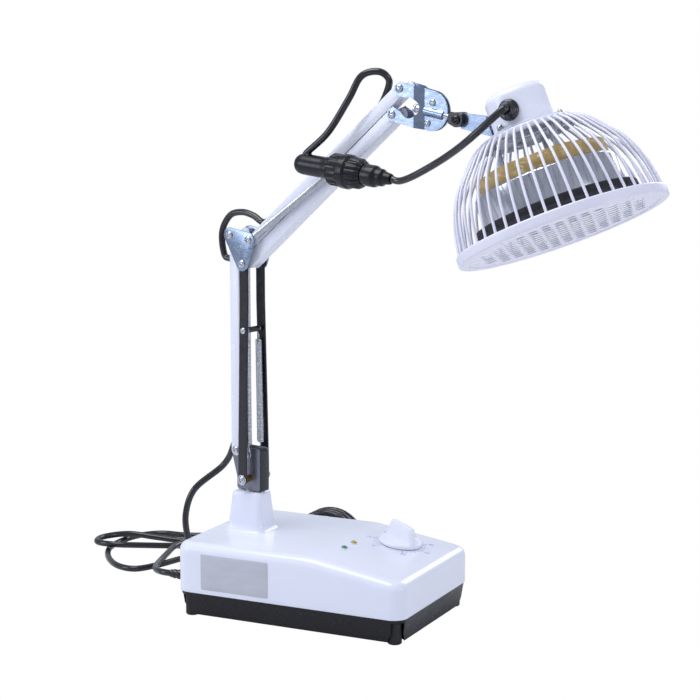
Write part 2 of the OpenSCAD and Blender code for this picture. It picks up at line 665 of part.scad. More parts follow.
// ---------------------------------------------------------------- fork
fork_start = 38.5;
fork_web = 2.8;                  // thickness of the fork's root along the rod
tongue_t = 3;
module fork_rod() {
    color("#c3c8d2") arm_frame() {
        along_rod(2, fork_start + fork_web, rod_d);
        along_rod(0, 2.5, rod_d + 1.6);
    }
}
module tilt_fork() {
    color("#17171c") arm_frame() difference() {
        union() {
            along_rod(fork_start, fork_start + fork_web, 9.6);
            intersection() {
                bar(-6.4, 6.4, rod_a + (fork_start + 3) * rod_dir, 4.6, tilt_pivot, 6.4);
                translate([rod_a.x + fork_start + 1, -10, 400]) cube([80, 20, 120]);
            }
        }
        bar(-tongue_t / 2 - 0.3, tongue_t / 2 + 0.3, rod_a + (fork_start + fork_web + 7) * rod_dir, 7, tilt_pivot + [20, 0], 14);
        along_rod(fork_start - 1, fork_start + fork_web + 0.02, rod_d);
        across(tilt_pivot, -20, 20, 4);
    }
}
module tilt_bolt() { color("#1a1a1e") arm_frame() headed_pin(tilt_pivot, 4, 6.5, 8, 2.6); }

// ---------------------------------------------------------------- head
cap_r = cap_d / 2;
ring_screw_at = [40, 140, 260];  // directions of the ring's three screws, clear of the bracket and the gland
flange_off = cap_r + 0.9;        // inner face of the bracket's flange
flange_t = 1.8;
flange_h = 104;                  // middle of the bracket's flange along the head
module head_bracket() {
    c = to3(head_o);
    s = [-sin(head_tilt), cos(head_tilt)];
    f = head_o + flange_h * s;
    t = [-cos(head_tilt), -sin(head_tilt)];
    edge = f + (flange_off + 0.2) * t;
    color("#5d7187") arm_frame() difference() {
        union() {
            plate(-tongue_t / 2, tongue_t / 2) {
                polygon([tilt_pivot + 6 * [cos(100), sin(100)], edge + 11 * s, edge - 9 * s,
                         tilt_pivot + 8 * [cos(-75), sin(-75)]]);
                translate(tilt_pivot) circle(6.2);
            }
            translate(c) rotate([0, -head_tilt, 0])
                translate([-flange_off - flange_t, -10, flange_h - 9]) cube([flange_t, 20, 20]);
        }
        across(tilt_pivot, -20, 20, 4 + 2 * pin_gap);
        translate(c) rotate([0, -head_tilt, 0]) for (y = [-6, 6])
            translate([-cap_r - 5, y, flange_h]) rotate([0, 90, 0]) cylinder(h = 10, d = 3);
    }
}
module bracket_rivets() {
    color("#c9ccd2") head_frame() for (y = [-6, 6]) translate([-flange_off - flange_t, y, flange_h]) rotate([0, 90, 0]) {
        cylinder(h = 6.4, d = 3);
        translate([0, 0, -1.4]) cylinder(h = 1.4, d = 5.4);
    }
}
gland_turn = 13;
gland_h = 107;
module to_gland() {
    rotate([0, 0, gland_turn]) translate([0, -cap_r, gland_h]) rotate([90, 0, 0]) children();
}
module head_cap() {
    color("#eef1fc") head_frame() difference() {
        rotate_extrude() polygon(concat(
            [[cap_r - shell_t, cap_low], [cap_r + 6, cap_low], [cap_r + 6, cap_low + 1.6], [cap_r + 0.8, cap_low + 1.6]],
            [for (a = [0:15:90]) [cap_r - 7 + 7 * cos(a), head_h - 7 + 7 * sin(a)]],
            [[0, head_h], [0, head_h - shell_t]],
            [for (a = [90:-30:0]) [cap_r - 7 + (7 - shell_t) * cos(a), head_h - 7 + (7 - shell_t) * sin(a)]]));
        to_gland() translate([0, 0, -8]) cylinder(h = 16, d = 12.3);
        for (y = [-6, 6]) translate([-cap_r - 5, y, flange_h]) rotate([0, 90, 0]) cylinder(h = 10, d = 3);
        for (a = ring_screw_at) rotate([0, 0, a]) translate([cap_r + 3.6, 0, cap_low - 1]) cylinder(h = 5, d = 3);
    }
}
module head_gland() {
    color("#16161a") head_frame() to_gland() rotate_extrude()
        polygon([[lead_d / 2, -4.6], [7.4, -4.6], [7.4, -3.4], [6, -3.4], [6, 0.6], [9.2, 0.6], [8.8, 3], [6.8, 4.4],
                 [4.8, 9], [lead_d / 2, 9]]);
}
module ring_nuts() {
    color("#c9ccd2") head_frame() for (a = ring_screw_at) rotate([0, 0, a]) translate([cap_r + 3.6, 0, 0]) {
        translate([0, 0, ring_h - 3]) cylinder(h = 8, d = 3);
        translate([0, 0, ring_h - 5]) cylinder(h = 3, d = 6.4, $fn = 6);
        translate([0, 0, cap_low + 1.6]) cylinder(h = 2.4, d = 5.8, $fn = 6);
        translate([0, 0, cap_low + 4]) sphere(d = 5.2);
    }
}
module cage_ring() {
    color("#e8ebf7") head_frame() difference() {
        rotate_extrude() polygon([[cap_r - 6, ring_h - 1.6], [ring_d / 2 - 1, ring_h - 1.6], [ring_d / 2 - 1, ring_h - 5],
            [ring_d / 2 + 0.6, ring_h - 5], [ring_d / 2 + 0.6, ring_h - 1], [ring_d / 2 - 0.4, ring_h], [cap_r - 6, ring_h]]);
        for (a = ring_screw_at) rotate([0, 0, a]) translate([cap_r + 3.6, 0, ring_h - 3]) cylinder(h = 5, d = 3);
    }
}
// outline of a wire: [radius, height], from the ring over the shoulder to the rim
wire_line = [[ring_d / 2 + 1.6, ring_h - 2.4], [ring_d / 2 + 10, ring_h - 9], [63, 70], [73, 58], [80, 44],
             [85, 27], [rim_d / 2 - 3, rim_h]];
module cage_wires() {
    p = [for (q = wire_line) [q.x, 0, q.y]];
    color("white") head_frame() for (i = [0:wire_count - 1]) rotate([0, 0, (i + 0.5) * 360 / wire_count])
        tube(curve(p, 1), wire_d / 2, 6, [0, 1, 0]);
}
hole_pitch = 12.5;
hole_w = 10.4;                   // over the corners
module guard_rim() {
    color("#dfe0f2") head_frame() {
        rotate_extrude() polygon([[rim_d / 2 - 8, 0], [rim_d / 2 - 1, 0], [rim_d / 2, 1], [rim_d / 2, rim_h - 1],
            [rim_d / 2 - 1, rim_h], [rim_d / 2 - 5, rim_h], [rim_d / 2 - 5.6, 2.4], [rim_d / 2 - 8, 2.4]]);
        translate([0, 0, 0.6]) linear_extrude(1.8) difference() {
            circle(rim_d / 2 - 7.6);
            for (i = [-7:7], j = [-7:7]) {
                c = hole_pitch * [i + j / 2, j * sqrt(3) / 2];
                if (norm(c) < rim_d / 2 - 17) translate(c) rotate(30) circle(d = hole_w, $fn = 6);
            }
        }
    }
}
module heater_cup() {
    color("#b9bcc2") head_frame() rotate_extrude() polygon([[cup_d / 2 - 1, cup_low], [cup_d / 2, cup_low],
        [cup_d / 2, cup_top - 2], [cup_d / 2 - 2, cup_top], [20, cup_top], [20, cup_top - 1], [cup_d / 2 - 2.4, cup_top - 1],
        [cup_d / 2 - 1, cup_top - 2.4]]);
}
module mineral_plate() {
    color("#1b1a20") head_frame() rotate_extrude() polygon([[0, 15.5], [mineral_d / 2 - 3, 15.5], [mineral_d / 2, 16.4],
        [mineral_d / 2, 21], [mineral_d / 2 - 1, 21.9], [cup_d / 2 - 6, 21.9], [cup_d / 2 - 6, 19], [0, 19]]);
}
module heating_element() {
    color("#7a6a58") head_frame() difference() {
        translate([0, 0, 19.1]) cylinder(h = 9, d = 96);
        translate([0, 0, 19]) cylinder(h = 12, d = 18);
    }
}
module insulation_band() {
    color("#b69a5a") head_frame() difference() {
        translate([0, 0, cup_top + 0.1]) cylinder(h = 13, d = cup_d - 8);
        translate([0, 0, cup_top]) cylinder(h = 15, d = cup_d - 14);
    }
}
post_r = 30;
module heater_posts() {
    color("#c9ccd2") head_frame() for (a = [100, 220, 340]) rotate([0, 0, a]) translate([post_r, 0, cup_top])
        cylinder(h = ring_h - 1.6 - cup_top, d = 6);
}

// ---------------------------------------------------------------- leads, in the arm's frame
lr = lead_d / 2;
rear_lead_u = P1B.x - pin_d / 2 - lr - 0.3;
over_pin = pin_d / 2 + lr + 0.3;       // lead's height over the upper bar's pivot line at its two ends
in_bar = 1.5;                          // and inside the bar
function on_bar(s, h) = P3 + s * upper_dir + h * upper_nrm;
function base_to_arm(p) = let (q = p - [swivel_x, 0, 0])
    [q.x * cos(arm_yaw) + q.y * sin(arm_yaw), -q.x * sin(arm_yaw) + q.y * cos(arm_yaw), q.z];
gland_dir = [sin(gland_turn), -cos(gland_turn), 0];
function head_to_arm(p) = [head_o.x + p.x * cos(head_tilt) - p.z * sin(head_tilt), p.y,
                           head_o.y + p.x * sin(head_tilt) + p.z * cos(head_tilt)];
con_a = [90, -28, 421.5];        // rear end of the inline connector
con_dir = unit([95, 0, -9.5]);
nose_end = con_a + 98 * con_dir;
// the head's lead from the base to the connector, and from the connector to the cap; each line is one piece
from_base_pts = [for (p = [[-base_l / 2 - 10, lead_in_y, lead_in_z], [-base_l / 2 - 16, lead_in_y, lead_in_z + 3],
    [-140, -14, 58], [-143, -12, 80], [-136, -6, 104]]) base_to_arm(p)];
lower_arm_pts = [[-38, 2, 126], [-24, 1, 146], [rear_lead_u, 0, 168], [rear_lead_u, 0, 240], [rear_lead_u, 0, 318]];
elbow_pts = [[-31, 0, 330], [-34, 0, 352], [-24, 0, 368], [-9, 0, 372]];
upper_arm_pts = [[5, 0, 369.5], to3(on_bar(16, 7.4)), to3(on_bar(34, over_pin - 1)), to3(on_bar(60, in_bar)),
    to3(on_bar(160, in_bar)), to3(on_bar(185, over_pin - 1))];
loop_pts = [to3(on_bar(200, 9)), [166, -5, 496], [160, -12, 503], [145, -17, 499], [134, -21, 479], [115, -26, 450],
    [92, -28, 431], con_a + [6, 0, 8]];
to_fork_pts = [nose_end, nose_end + 8 * con_dir, [212, -31, 416], [238, -34, 428]];
to_head_pts = [[262, -40, 440], [284, -46, 453], head_to_arm((cap_r + 16) * gland_dir + [-1, 0, gland_h - 1]),
    head_to_arm((cap_r + 9.2) * gland_dir + [0, 0, gland_h])];
lead_run = curve(concat(from_base_pts, lower_arm_pts, elbow_pts, upper_arm_pts, loop_pts), 2);
head_run = curve(concat(to_fork_pts, to_head_pts), 2);
cut_1 = 2 * (len(from_base_pts) - 1);
cut_2 = cut_1 + 2 * len(lower_arm_pts);
cut_3 = cut_2 + 2 * len(elbow_pts);
cut_4 = cut_3 + 2 * len(upper_arm_pts);
cut_5 = 2 * (len(to_fork_pts) - 1);
module lead(run, first, last) { color("#111015") arm_frame() tube(run, lr, 8, [0, 1, 0.01], first, last); }
module lead_from_base() { lead(lead_run, 0, cut_1); }
module lead_lower_arm() { lead(lead_run, cut_1, cut_2); }
module lead_elbow() { lead(lead_run, cut_2, cut_3); }
module lead_upper_arm() { lead(lead_run, cut_3, cut_4); }
module lead_loop() { lead(lead_run, cut_4, len(lead_run) - 1); }
module lead_to_fork() { lead(head_run, 0, cut_5); }
module lead_to_head() { lead(head_run, cut_5, len(head_run) - 1); }
module on_connector(pts) {
    translate(con_a) rotate([0, 90 + atan2(9.5, 95), 0]) rotate_extrude() polygon(pts);
}
module inline_connector() {
    color("#131217") arm_frame() {
        on_connector([[0, -9], [5, -8.4], [8.4, -5], [9.4, 0], [9.4, 24], [10.4, 30], [10.4, 32], [0, 32]]);
        on_connector([[0, 32.05], [12, 32.05], [14.4, 34], [14.4, 44], [15.2, 46], [15.2, 52], [13.4, 55], [13.4, 64],
            [10, 68], [0, 68]]);
        on_connector([[0, 68.05], [9.6, 68.05], [9.6, 80], [7.6, 83], [7.6, 88], [5.6, 90], [4.6, 97], [0, 97]]);
    }
}

// ---------------------------------------------------------------- mains lead on the ground, points by hand
relief_end = [tray_side_x - relief_l, relief_y, relief_z];
coil_x = -41;
coil_y = 104;
coil_turns = 3;
coil_pitch = 6.9;
coil_r = 33.3;
ground_z = lr + 0.05;
over_z = 9.6;                    // height where the lead passes over itself
coil_in = [coil_x - 6.2, coil_y, ground_z];
lead_route = [relief_end, [-176, -5, 16.4], [-190, 7, 14.6], [-202, 29, 12.6], [-213, 54, over_z], [-221, 80, over_z],
    [-228, 104, over_z], [-227, 126, over_z], [-222, 152, over_z], [-210, 176, over_z], [-189, 187, over_z],
    [-170, 174, over_z], [-180, 157, 6], [-209, 149, ground_z], [-236, 132, ground_z], [-264, 104, 7], [-288, 85, over_z],
    [-311, 86, over_z], [-317, 106, over_z], [-300, 129, over_z], [-272, 141, 6], [-243, 150, ground_z],
    [-218, 161, ground_z], [-190, 169, ground_z], [-160, 171, ground_z], [-138, 186, ground_z], [-137, 208, ground_z],
    [-157, 222, ground_z], [-186, 213, ground_z], [-216, 191, ground_z], [-252, 173, ground_z], [-282, 168, ground_z],
    [-300, 148, ground_z], [-304, 118, ground_z], [-298, 88, ground_z], [-279, 58, ground_z], [-254, 36, ground_z],
    [-231, 33, ground_z], [-218, 56, ground_z], [-209, 88, ground_z], [-196, 113, ground_z], [-170, 122, ground_z],
    [-130, 119, ground_z], [-90, 108, ground_z], [-62, coil_y, ground_z], coil_in];
function path_length(p) = len(p) < 2 ? 0 : norm(p[1] - p[0]) + path_length([for (i = [1:len(p) - 1]) p[i]]);
coil_steps = 24 * coil_turns;
coil_path = concat([coil_in], [for (k = [0:coil_steps]) let (a = 360 * k * coil_turns / coil_steps)
    [coil_x + coil_r * sin(a), coil_y - coil_pitch * k / 24, ground_z + coil_r * (1 - cos(a))]],
    [[coil_x + 6.2, coil_y - coil_pitch * coil_turns, ground_z]]);
coil_out = coil_path[len(coil_path) - 1];
plug_end = [22, 96, 10];
tail_route = [coil_out, coil_out + [12, 0, 0.6], coil_out + [28, 3, 2.4], plug_end - [14, 2.6, 2], plug_end - [0.6, 0.1, 0]];
echo(mains_lead_length = path_length(curve(lead_route, 4)) + path_length(coil_path) + path_length(curve(tail_route, 4)));
echo(coil_gap = min([for (k = [1:24], j = [0:coil_steps - 24])
    norm(coil_path[1 + j] - coil_path[min(len(coil_path) - 2, 1 + j + 12 + k)])]) - lead_d);
module mains_lead() {
    color("#111015") placed() {
        tube(curve(lead_route, 2), lr, 8, [0, 0, 1]);
        tube(curve(tail_route, 2), lr, 8, [0, 0, 1]);
    }
}
module mains_coil() { color("#111015") placed() tube(coil_path, lr, 6, [0, 1, 0]); }
plug_turn = 12;
module on_plug() { translate(plug_end) rotate([0, 0, plug_turn]) children(); }
module mains_plug() {
    color("#16161a") placed() on_plug() {
        rotate([0, 90, 0]) rotate_extrude() polygon([[0, 0], [lr + 0.8, 0], [6.2, 18], [6.2, 20], [0, 20]]);
        difference() {
            intersection() {
                translate([20, 0, -9.9]) linear_extrude(19.8) union() {
                    translate([20, 0]) square([24, 30], center = true);
                    translate([8, 0]) circle(d = 24);
                    for (y = [-1, 1]) translate([26, y * 9]) circle(d = 12);
                }
                translate([20, -20, -9.9]) cube([32, 40, 19.8]);
            }
            translate([-2, 0, 0]) rotate([0, 90, 0]) cylinder(h = 22.6, d = 12.4);
            for (y = [-1, 1]) translate([44, y * 6.4, 0]) rotate([0, 90, 0]) cylinder(h = 26, d = 4.8);
        }
    }
}
module plug_pins() {
    color("#c9b06a") placed() on_plug() for (y = [-1, 1]) translate([44, y * 6.4, 0]) rotate([0, 90, 0]) cylinder(h = 26, d = 4.8);
}

function placed3(p) = [swivel_x - origin_x + p.x * cos(arm_yaw) - p.y * sin(arm_yaw),
    -origin_y + p.x * sin(arm_yaw) + p.y * cos(arm_yaw), p.z];
echo(stem = placed3([0, 0, pedestal_z]), rear_pivot = placed3(to3(P1B)), front_pivot = placed3(to3(P2B)));
echo(rear_top = placed3(to3(P1T)), front_top = placed3(to3(P2T)), outer_hinge = placed3(to3(P3)));
echo(wrist_low = placed3(to3(Q2)), wrist_high = placed3(to3(Q3)), tilt = placed3(to3(tilt_pivot)));
echo(rod = placed3(to3(rod_a)), rod_end = placed3(to3(rod_a + 40 * rod_dir)), head = placed3(to3(head_o)));
echo(knob = [knob_x - origin_x, knob_y - origin_y, deck_at(knob_x)], deck_tilt = deck_tilt);
echo(base_middle = [-origin_x, -origin_y, 0]);
base_tray();
base_cover();
rubber_feet();
cover_screws();
ballast_plate();
socket_tube();
timer_body();
timer_shaft();
timer_knob();
heating_lamp_lens();
timer_lamp_lens();
lamp_board();
strain_reliefs();
swivel_bracket();
swivel_stem();
bracket_pins();
front_straps();
front_lower_pin();
strap_bushes();
strap_washers();
spring_spreader();
rear_link();
elbow_plates();
elbow_pins();
elbow_spacers();
lower_bar();
upper_bar();
upper_spring_pin();
lower_springs();
upper_springs();
wrist_plates();
wrist_screws();
fork_rod();
tilt_fork();
tilt_bolt();
head_bracket();
bracket_rivets();
head_cap();
head_gland();
ring_nuts();
cage_ring();
cage_wires();
guard_rim();
heater_cup();
mineral_plate();
heating_element();
insulation_band();
heater_posts();
lead_from_base();
lead_lower_arm();
lead_elbow();
lead_upper_arm();
lead_loop();
inline_connector();
lead_to_fork();
lead_to_head();
mains_lead();
mains_coil();
mains_plug();
plug_pins();
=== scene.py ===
"""Infrared heat therapy lamp: the looks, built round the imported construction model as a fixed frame.

Sizes in this file are millimetres. base(), arm(), head() and deck() carry points of the base's, the arm's, the
head's and the sloping deck's own frames into the row frame, in metres.
"""

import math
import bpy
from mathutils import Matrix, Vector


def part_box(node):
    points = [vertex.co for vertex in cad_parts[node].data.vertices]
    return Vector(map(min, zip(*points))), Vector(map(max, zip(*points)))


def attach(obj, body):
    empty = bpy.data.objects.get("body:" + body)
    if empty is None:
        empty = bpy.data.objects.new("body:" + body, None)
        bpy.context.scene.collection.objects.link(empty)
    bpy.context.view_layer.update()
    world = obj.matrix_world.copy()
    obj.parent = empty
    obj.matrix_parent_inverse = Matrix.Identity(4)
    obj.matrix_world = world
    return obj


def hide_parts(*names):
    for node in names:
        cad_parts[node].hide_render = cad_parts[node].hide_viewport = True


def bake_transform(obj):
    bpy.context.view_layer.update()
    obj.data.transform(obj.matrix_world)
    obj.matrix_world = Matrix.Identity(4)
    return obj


bl_info = {
    "name": "Infrared heat therapy lamp",
    "version": (1, 0, 0),
    "blender": (4, 5, 0),
    "location": "View3D > Sidebar > Heat lamp",
    "description": "Builds the visible pieces and finishes of a desk heat therapy lamp",
    "category": "Add Mesh",
}

import bmesh
import bpy
import numpy as np
from mathutils import Matrix

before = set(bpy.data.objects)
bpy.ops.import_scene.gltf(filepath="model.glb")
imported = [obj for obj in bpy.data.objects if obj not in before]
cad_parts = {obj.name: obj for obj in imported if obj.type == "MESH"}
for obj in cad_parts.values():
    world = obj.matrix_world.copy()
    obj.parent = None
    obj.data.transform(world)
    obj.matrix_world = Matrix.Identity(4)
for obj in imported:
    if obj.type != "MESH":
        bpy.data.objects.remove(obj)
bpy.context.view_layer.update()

# ---------------------------------------------------------------- places shared with the construction model
feet = [np.array(corner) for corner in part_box("rubber_feet")]
MIDDLE = np.array([feet[0][0] + feet[1][0], feet[0][1] + feet[1][1], 0]) / 2
TURN = math.radians(-12)          # the arm as photographed, about its stem
TILT = math.radians(24)           # the head, backward
SWIVEL_X = -77.0
DECK_TILT = math.atan(13 / 86)
DECK_LINE = 62 + 9 / math.cos(DECK_TILT)
FRONT_LOW = np.array([3, 120.5])
REAR_LOW = FRONT_LOW + [-15, 26]
FRONT_TOP = FRONT_LOW + [0, 205]
REAR_TOP = REAR_LOW + [0, 205]
OUTER = FRONT_TOP + [8, 22.5]
ARM_SLOPE = math.radians(39.8)
ALONG = np.array([math.cos(ARM_SLOPE), math.sin(ARM_SLOPE)])
ABOVE = np.array([-ALONG[1], ALONG[0]])
WRIST_LOW = FRONT_TOP + 220 * ALONG
WRIST_HIGH = OUTER + 220 * ALONG
CLAMP = WRIST_LOW + [37, 3.6]
ROD_SLOPE = math.radians(-10.6)
ROD_ALONG = np.array([math.cos(ROD_SLOPE), math.sin(ROD_SLOPE)])
ROD_START = CLAMP + [-18.9, 2.1]
TILT_PIVOT = ROD_START + 48.5 * ROD_ALONG
HEAD_AT = TILT_PIVOT + [104.9, -90.3]
LEAD_D = 6.2


def base(points):
    """The base's frame (middle of the base, on the ground) to the row frame."""
    return np.asarray(points, float) / 1000 + MIDDLE


def arm(points):
    """The arm's frame (forward, sideways, up, from the swivel's foot) to the row frame: a turn about the stem."""
    p = np.asarray(points, float)
    c, s = math.cos(TURN), math.sin(TURN)
    x = SWIVEL_X + p[..., 0] * c - p[..., 1] * s
    return base(np.stack([x, p[..., 0] * s + p[..., 1] * c, p[..., 2]], -1))


def head_to_arm(points):
    """The head's frame (rim in its ground plane) to the arm's frame: a tilt, then the head's place."""
    p = np.asarray(points, float)
    c, s = math.cos(TILT), math.sin(TILT)
    return np.stack([HEAD_AT[0] + p[..., 0] * c - p[..., 2] * s, p[..., 1],
                     HEAD_AT[1] + p[..., 0] * s + p[..., 2] * c], -1)


def head(points):
    """The head's frame to the row frame."""
    return arm(head_to_arm(points))


def deck_height(x):
    """Height of the sloping part of the deck: one straight line."""
    return DECK_LINE - (x - 21) * math.tan(DECK_TILT)


def deck(x, y):
    """A map from the sloping deck's own frame at (x, y), its third axis off the deck, to the row frame."""
    def carry(points):
        p = np.asarray(points, float)
        c, s = math.cos(DECK_TILT), math.sin(DECK_TILT)
        return base(np.stack([x + p[..., 0] * c + p[..., 2] * s, y + p[..., 1],
                              deck_height(x) - p[..., 0] * s + p[..., 2] * c], -1))
    return carry


# ---------------------------------------------------------------- surfaces, worked out as whole arrays
def grid(points, closed_rows=False, closed=True, caps=(False, False)):
    """Quads between neighbours of a grid of points [row, column]; columns close on themselves, rows may too,
    and the first and last row may each be filled with one polygon."""
    points = np.asarray(points, float)
    rows, cols = points.shape[:2]
    i, j = np.meshgrid(np.arange(rows if closed_rows else rows - 1), np.arange(cols if closed else cols - 1),
                       indexing="ij")
    a, b = (i + 1) % rows, (j + 1) % cols
    faces = np.stack([i * cols + j, i * cols + b, a * cols + b, a * cols + j], -1).reshape(-1, 4).tolist()
    if caps[0]:
        faces.append(list(range(cols))[::-1])
    if caps[1]:
        faces.append(list(range((rows - 1) * cols, rows * cols)))
    return points.reshape(-1, 3), faces


def lathe(profile, sides=96, closed_rows=False, centre=(0, 0, 0)):
    """A profile of (radius, height) turned about the upright axis: (r cos t, r sin t, h)."""
    r, h = np.asarray(profile, float).T
    t = np.linspace(0, 2 * math.pi, sides, endpoint=False)
    p = np.stack([np.outer(r, np.cos(t)), np.outer(r, np.sin(t)), np.repeat(h[:, None], sides, 1)], -1)
    return grid(p + np.array(centre, float), closed_rows)


def rounded(points, radius=0.5, steps=4):
    """A closed or open profile with each inner corner replaced by a short parabola of that reach."""
    p = np.asarray(points, float)
    out = [p[:1]]
    for before, here, after in zip(p[:-2], p[1:-1], p[2:]):
        a, b = before - here, after - here
        la, lb = np.linalg.norm(a), np.linalg.norm(b)
        k = min(radius, 0.45 * la, 0.45 * lb)
        a, b = here + a / la * k, here + b / lb * k
        t = np.linspace(0, 1, steps)[:, None]
        out.append((1 - t) ** 2 * a + 2 * t * (1 - t) * here + t ** 2 * b)
    out.append(p[-1:])
    return np.concatenate(out)


def frames_along(path, first):
    """Tangents of a path, and a cross direction carried along it without twist from the direction first."""
    t = np.gradient(path, axis=0)
    t /= np.linalg.norm(t, axis=1)[:, None]
    u = np.empty_like(t)
    carried = np.array(first, float)
    for k, tangent in enumerate(t):
        carried = carried - tangent * (carried @ tangent)
        carried /= np.linalg.norm(carried)
        u[k] = carried
    return t, u, np.cross(t, u)


def tube(path, radius, sides=16, first=(0, 1, 0.01)):
    """A circle of the given radius, or radii, carried along a path, with flat ends."""
    path = np.asarray(path, float)
    _, u, v = frames_along(path, first)
    a = np.linspace(0, 2 * math.pi, sides, endpoint=False)
    r = np.broadcast_to(np.asarray(radius, float), len(path))[:, None, None]
    ring = np.cos(a)[None, :, None] * u[:, None] + np.sin(a)[None, :, None] * v[:, None]
    return grid(path[:, None] + r * ring, caps=(True, True))


def curve(points, steps):
    """Smooth curve through points, steps spans between neighbours: the cubic that meets each neighbour's chord."""
    p = np.asarray(points, float)
    p = np.concatenate([p[:1], p, p[-1:]])
    a, b, c, d = (p[k:len(p) - 3 + k, None] for k in range(4))
    t = (np.arange(steps) / steps)[None, :, None]
    body = 0.5 * (2 * b + (c - a) * t + (2 * a - 5 * b + 4 * c - d) * t ** 2 + (3 * b - a - 3 * c + d) * t ** 3)
    return np.concatenate([body.reshape(-1, 3), p[-1:]])


def hull(*circles, count=96):
    """Outline drawn tightly round circles (x, y, r): in each direction the point of the circle reaching farthest."""
    c = np.array(circles, float)
    a = np.linspace(0, 2 * math.pi, count, endpoint=False)
    d = np.stack([np.cos(a), np.sin(a)], -1)
    far = np.argmax(d @ c[:, :2].T + c[:, 2], 1)
    return c[far, :2] + c[far, 2:] * d


def stadium(l, w, r, count=64):
    """Outline of a rectangle l by w with corners of radius r, as a hull of four circles."""
    x, y = l / 2 - r, w / 2 - r
    return hull((x, y, r), (-x, y, r), (-x, -y, r), (x, -y, r), count=count)


def inset(outline, by):
    """A closed outline moved inward along its own normals."""
    d = np.roll(outline, -1, 0) - np.roll(outline, 1, 0)
    d /= np.linalg.norm(d, axis=1)[:, None] + 1e-12
    return outline + by * np.stack([-d[:, 1], d[:, 0]], -1)


def slab(outline, low, high, edge=0.4, axis=1):
    """An outline given a thickness from low to high, its edges rounded by quarter circles.
    axis 1 stands the outline upright in the arm's plane, axis 2 lays it flat."""
    a = np.linspace(0, math.pi / 2, 4)
    rows = [(low + edge * (1 - math.sin(t)), edge * (1 - math.cos(t))) for t in a[::-1]]
    rows += [(high - edge * (1 - math.sin(t)), edge * (1 - math.cos(t))) for t in a]
    p = []
    for level, by in rows:
        flat = inset(outline, by)
        level = np.full(len(flat), level)
        p.append(np.stack([flat[:, 0], level, flat[:, 1]] if axis == 1 else [flat[:, 0], flat[:, 1], level], -1))
    return grid(np.array(p), caps=(True, True))


def moved(shell, by):
    """A shell shifted by a vector."""
    return shell[0] + np.array(by, float), shell[1]


def turned(shell, angle, centre=(0, 0), plane=(0, 1)):
    """A shell turned by an angle in degrees about a centre in one plane."""
    p, faces = np.array(shell[0]), shell[1]
    c, s = math.cos(math.radians(angle)), math.sin(math.radians(angle))
    x, y = p[:, plane[0]] - centre[0], p[:, plane[1]] - centre[1]
    p[:, plane[0]], p[:, plane[1]] = centre[0] + x * c - y * s, centre[1] + x * s + y * c
    return p, faces


def mirrored(shell):
    """The same shell on the other side of the arm's plane."""
    return shell[0] * [1, -1, 1], shell[1]


def both(shells):
    """Shells and their mirror images across the arm's plane."""
    return shells + [mirrored(s) for s in shells]


def make(name, shells, finishes, body, replaces=(), slot=None, carry=arm, crease=38, ride=True):
    """One piece from shells (points, faces) or (points, faces, finish number), carried into the row frame. Doubles at
    poles are merged, faces turned outward, and edges sharper than crease degrees are kept sharp."""
    points, faces, numbers, start = [], [], [], 0
    for shell in shells:
        points.append(carry(shell[0]))
        faces += [[k + start for k in face] for face in shell[1]]
        numbers += [shell[2] if len(shell) > 2 else 0] * len(shell[1])
        start += len(shell[0])
    mesh = bpy.data.meshes.new(name)
    mesh.from_pydata(np.concatenate(points).tolist(), [], faces)
    finishes = finishes if isinstance(finishes, (list, tuple)) else [finishes]
    for finish in finishes:
        mesh.materials.append(finish)
    mesh.polygons.foreach_set("material_index", np.array(numbers, np.int32))
    built = bmesh.new()
    built.from_mesh(mesh)
    bmesh.ops.remove_doubles(built, verts=built.verts, dist=2e-6)
    bmesh.ops.recalc_face_normals(built, faces=built.faces)
    built.to_mesh(mesh)
    built.free()
    mesh.polygons.foreach_set("use_smooth", np.ones(len(mesh.polygons), bool))
    mesh.set_sharp_from_angle(angle=math.radians(crease))
    piece = bpy.data.objects.new(name, mesh)
    bpy.context.scene.collection.objects.link(piece)
    if replaces:
        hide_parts(*replaces)
    if ride:
        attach(piece, body)
    return piece


def dress(finish, *nodes):
    """Gives construction nodes, whose shape is right as it is, their real finish."""
    for name in nodes:
        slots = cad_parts[name].data.materials
        slots.clear()
        slots.append(finish)


# ---------------------------------------------------------------- finishes
def linear(code):
    """An sRGB hex colour as linear light, with alpha 1."""
    c = np.array([int(code[k:k + 2], 16) for k in (1, 3, 5)]) / 255
    return (*np.where(c <= 0.04045, c / 12.92, ((c + 0.055) / 1.055) ** 2.4), 1)


def add(finish, kind, **given):
    """Adds one node. A lower-case name sets a property; others name a socket, with _ for a space and i0, i1 ... by
    number, and take a value or another node's output."""
    node = finish.node_tree.nodes.new(kind)
    for key, value in given.items():
        if hasattr(node, key):
            setattr(node, key, value)
            continue
        socket = node.inputs[int(key[1:])] if key[1:].isdigit() else node.inputs[key.replace("_", " ")]
        if isinstance(value, bpy.types.NodeSocket):
            finish.node_tree.links.new(value, socket)
        else:
            socket.default_value = value
    return node


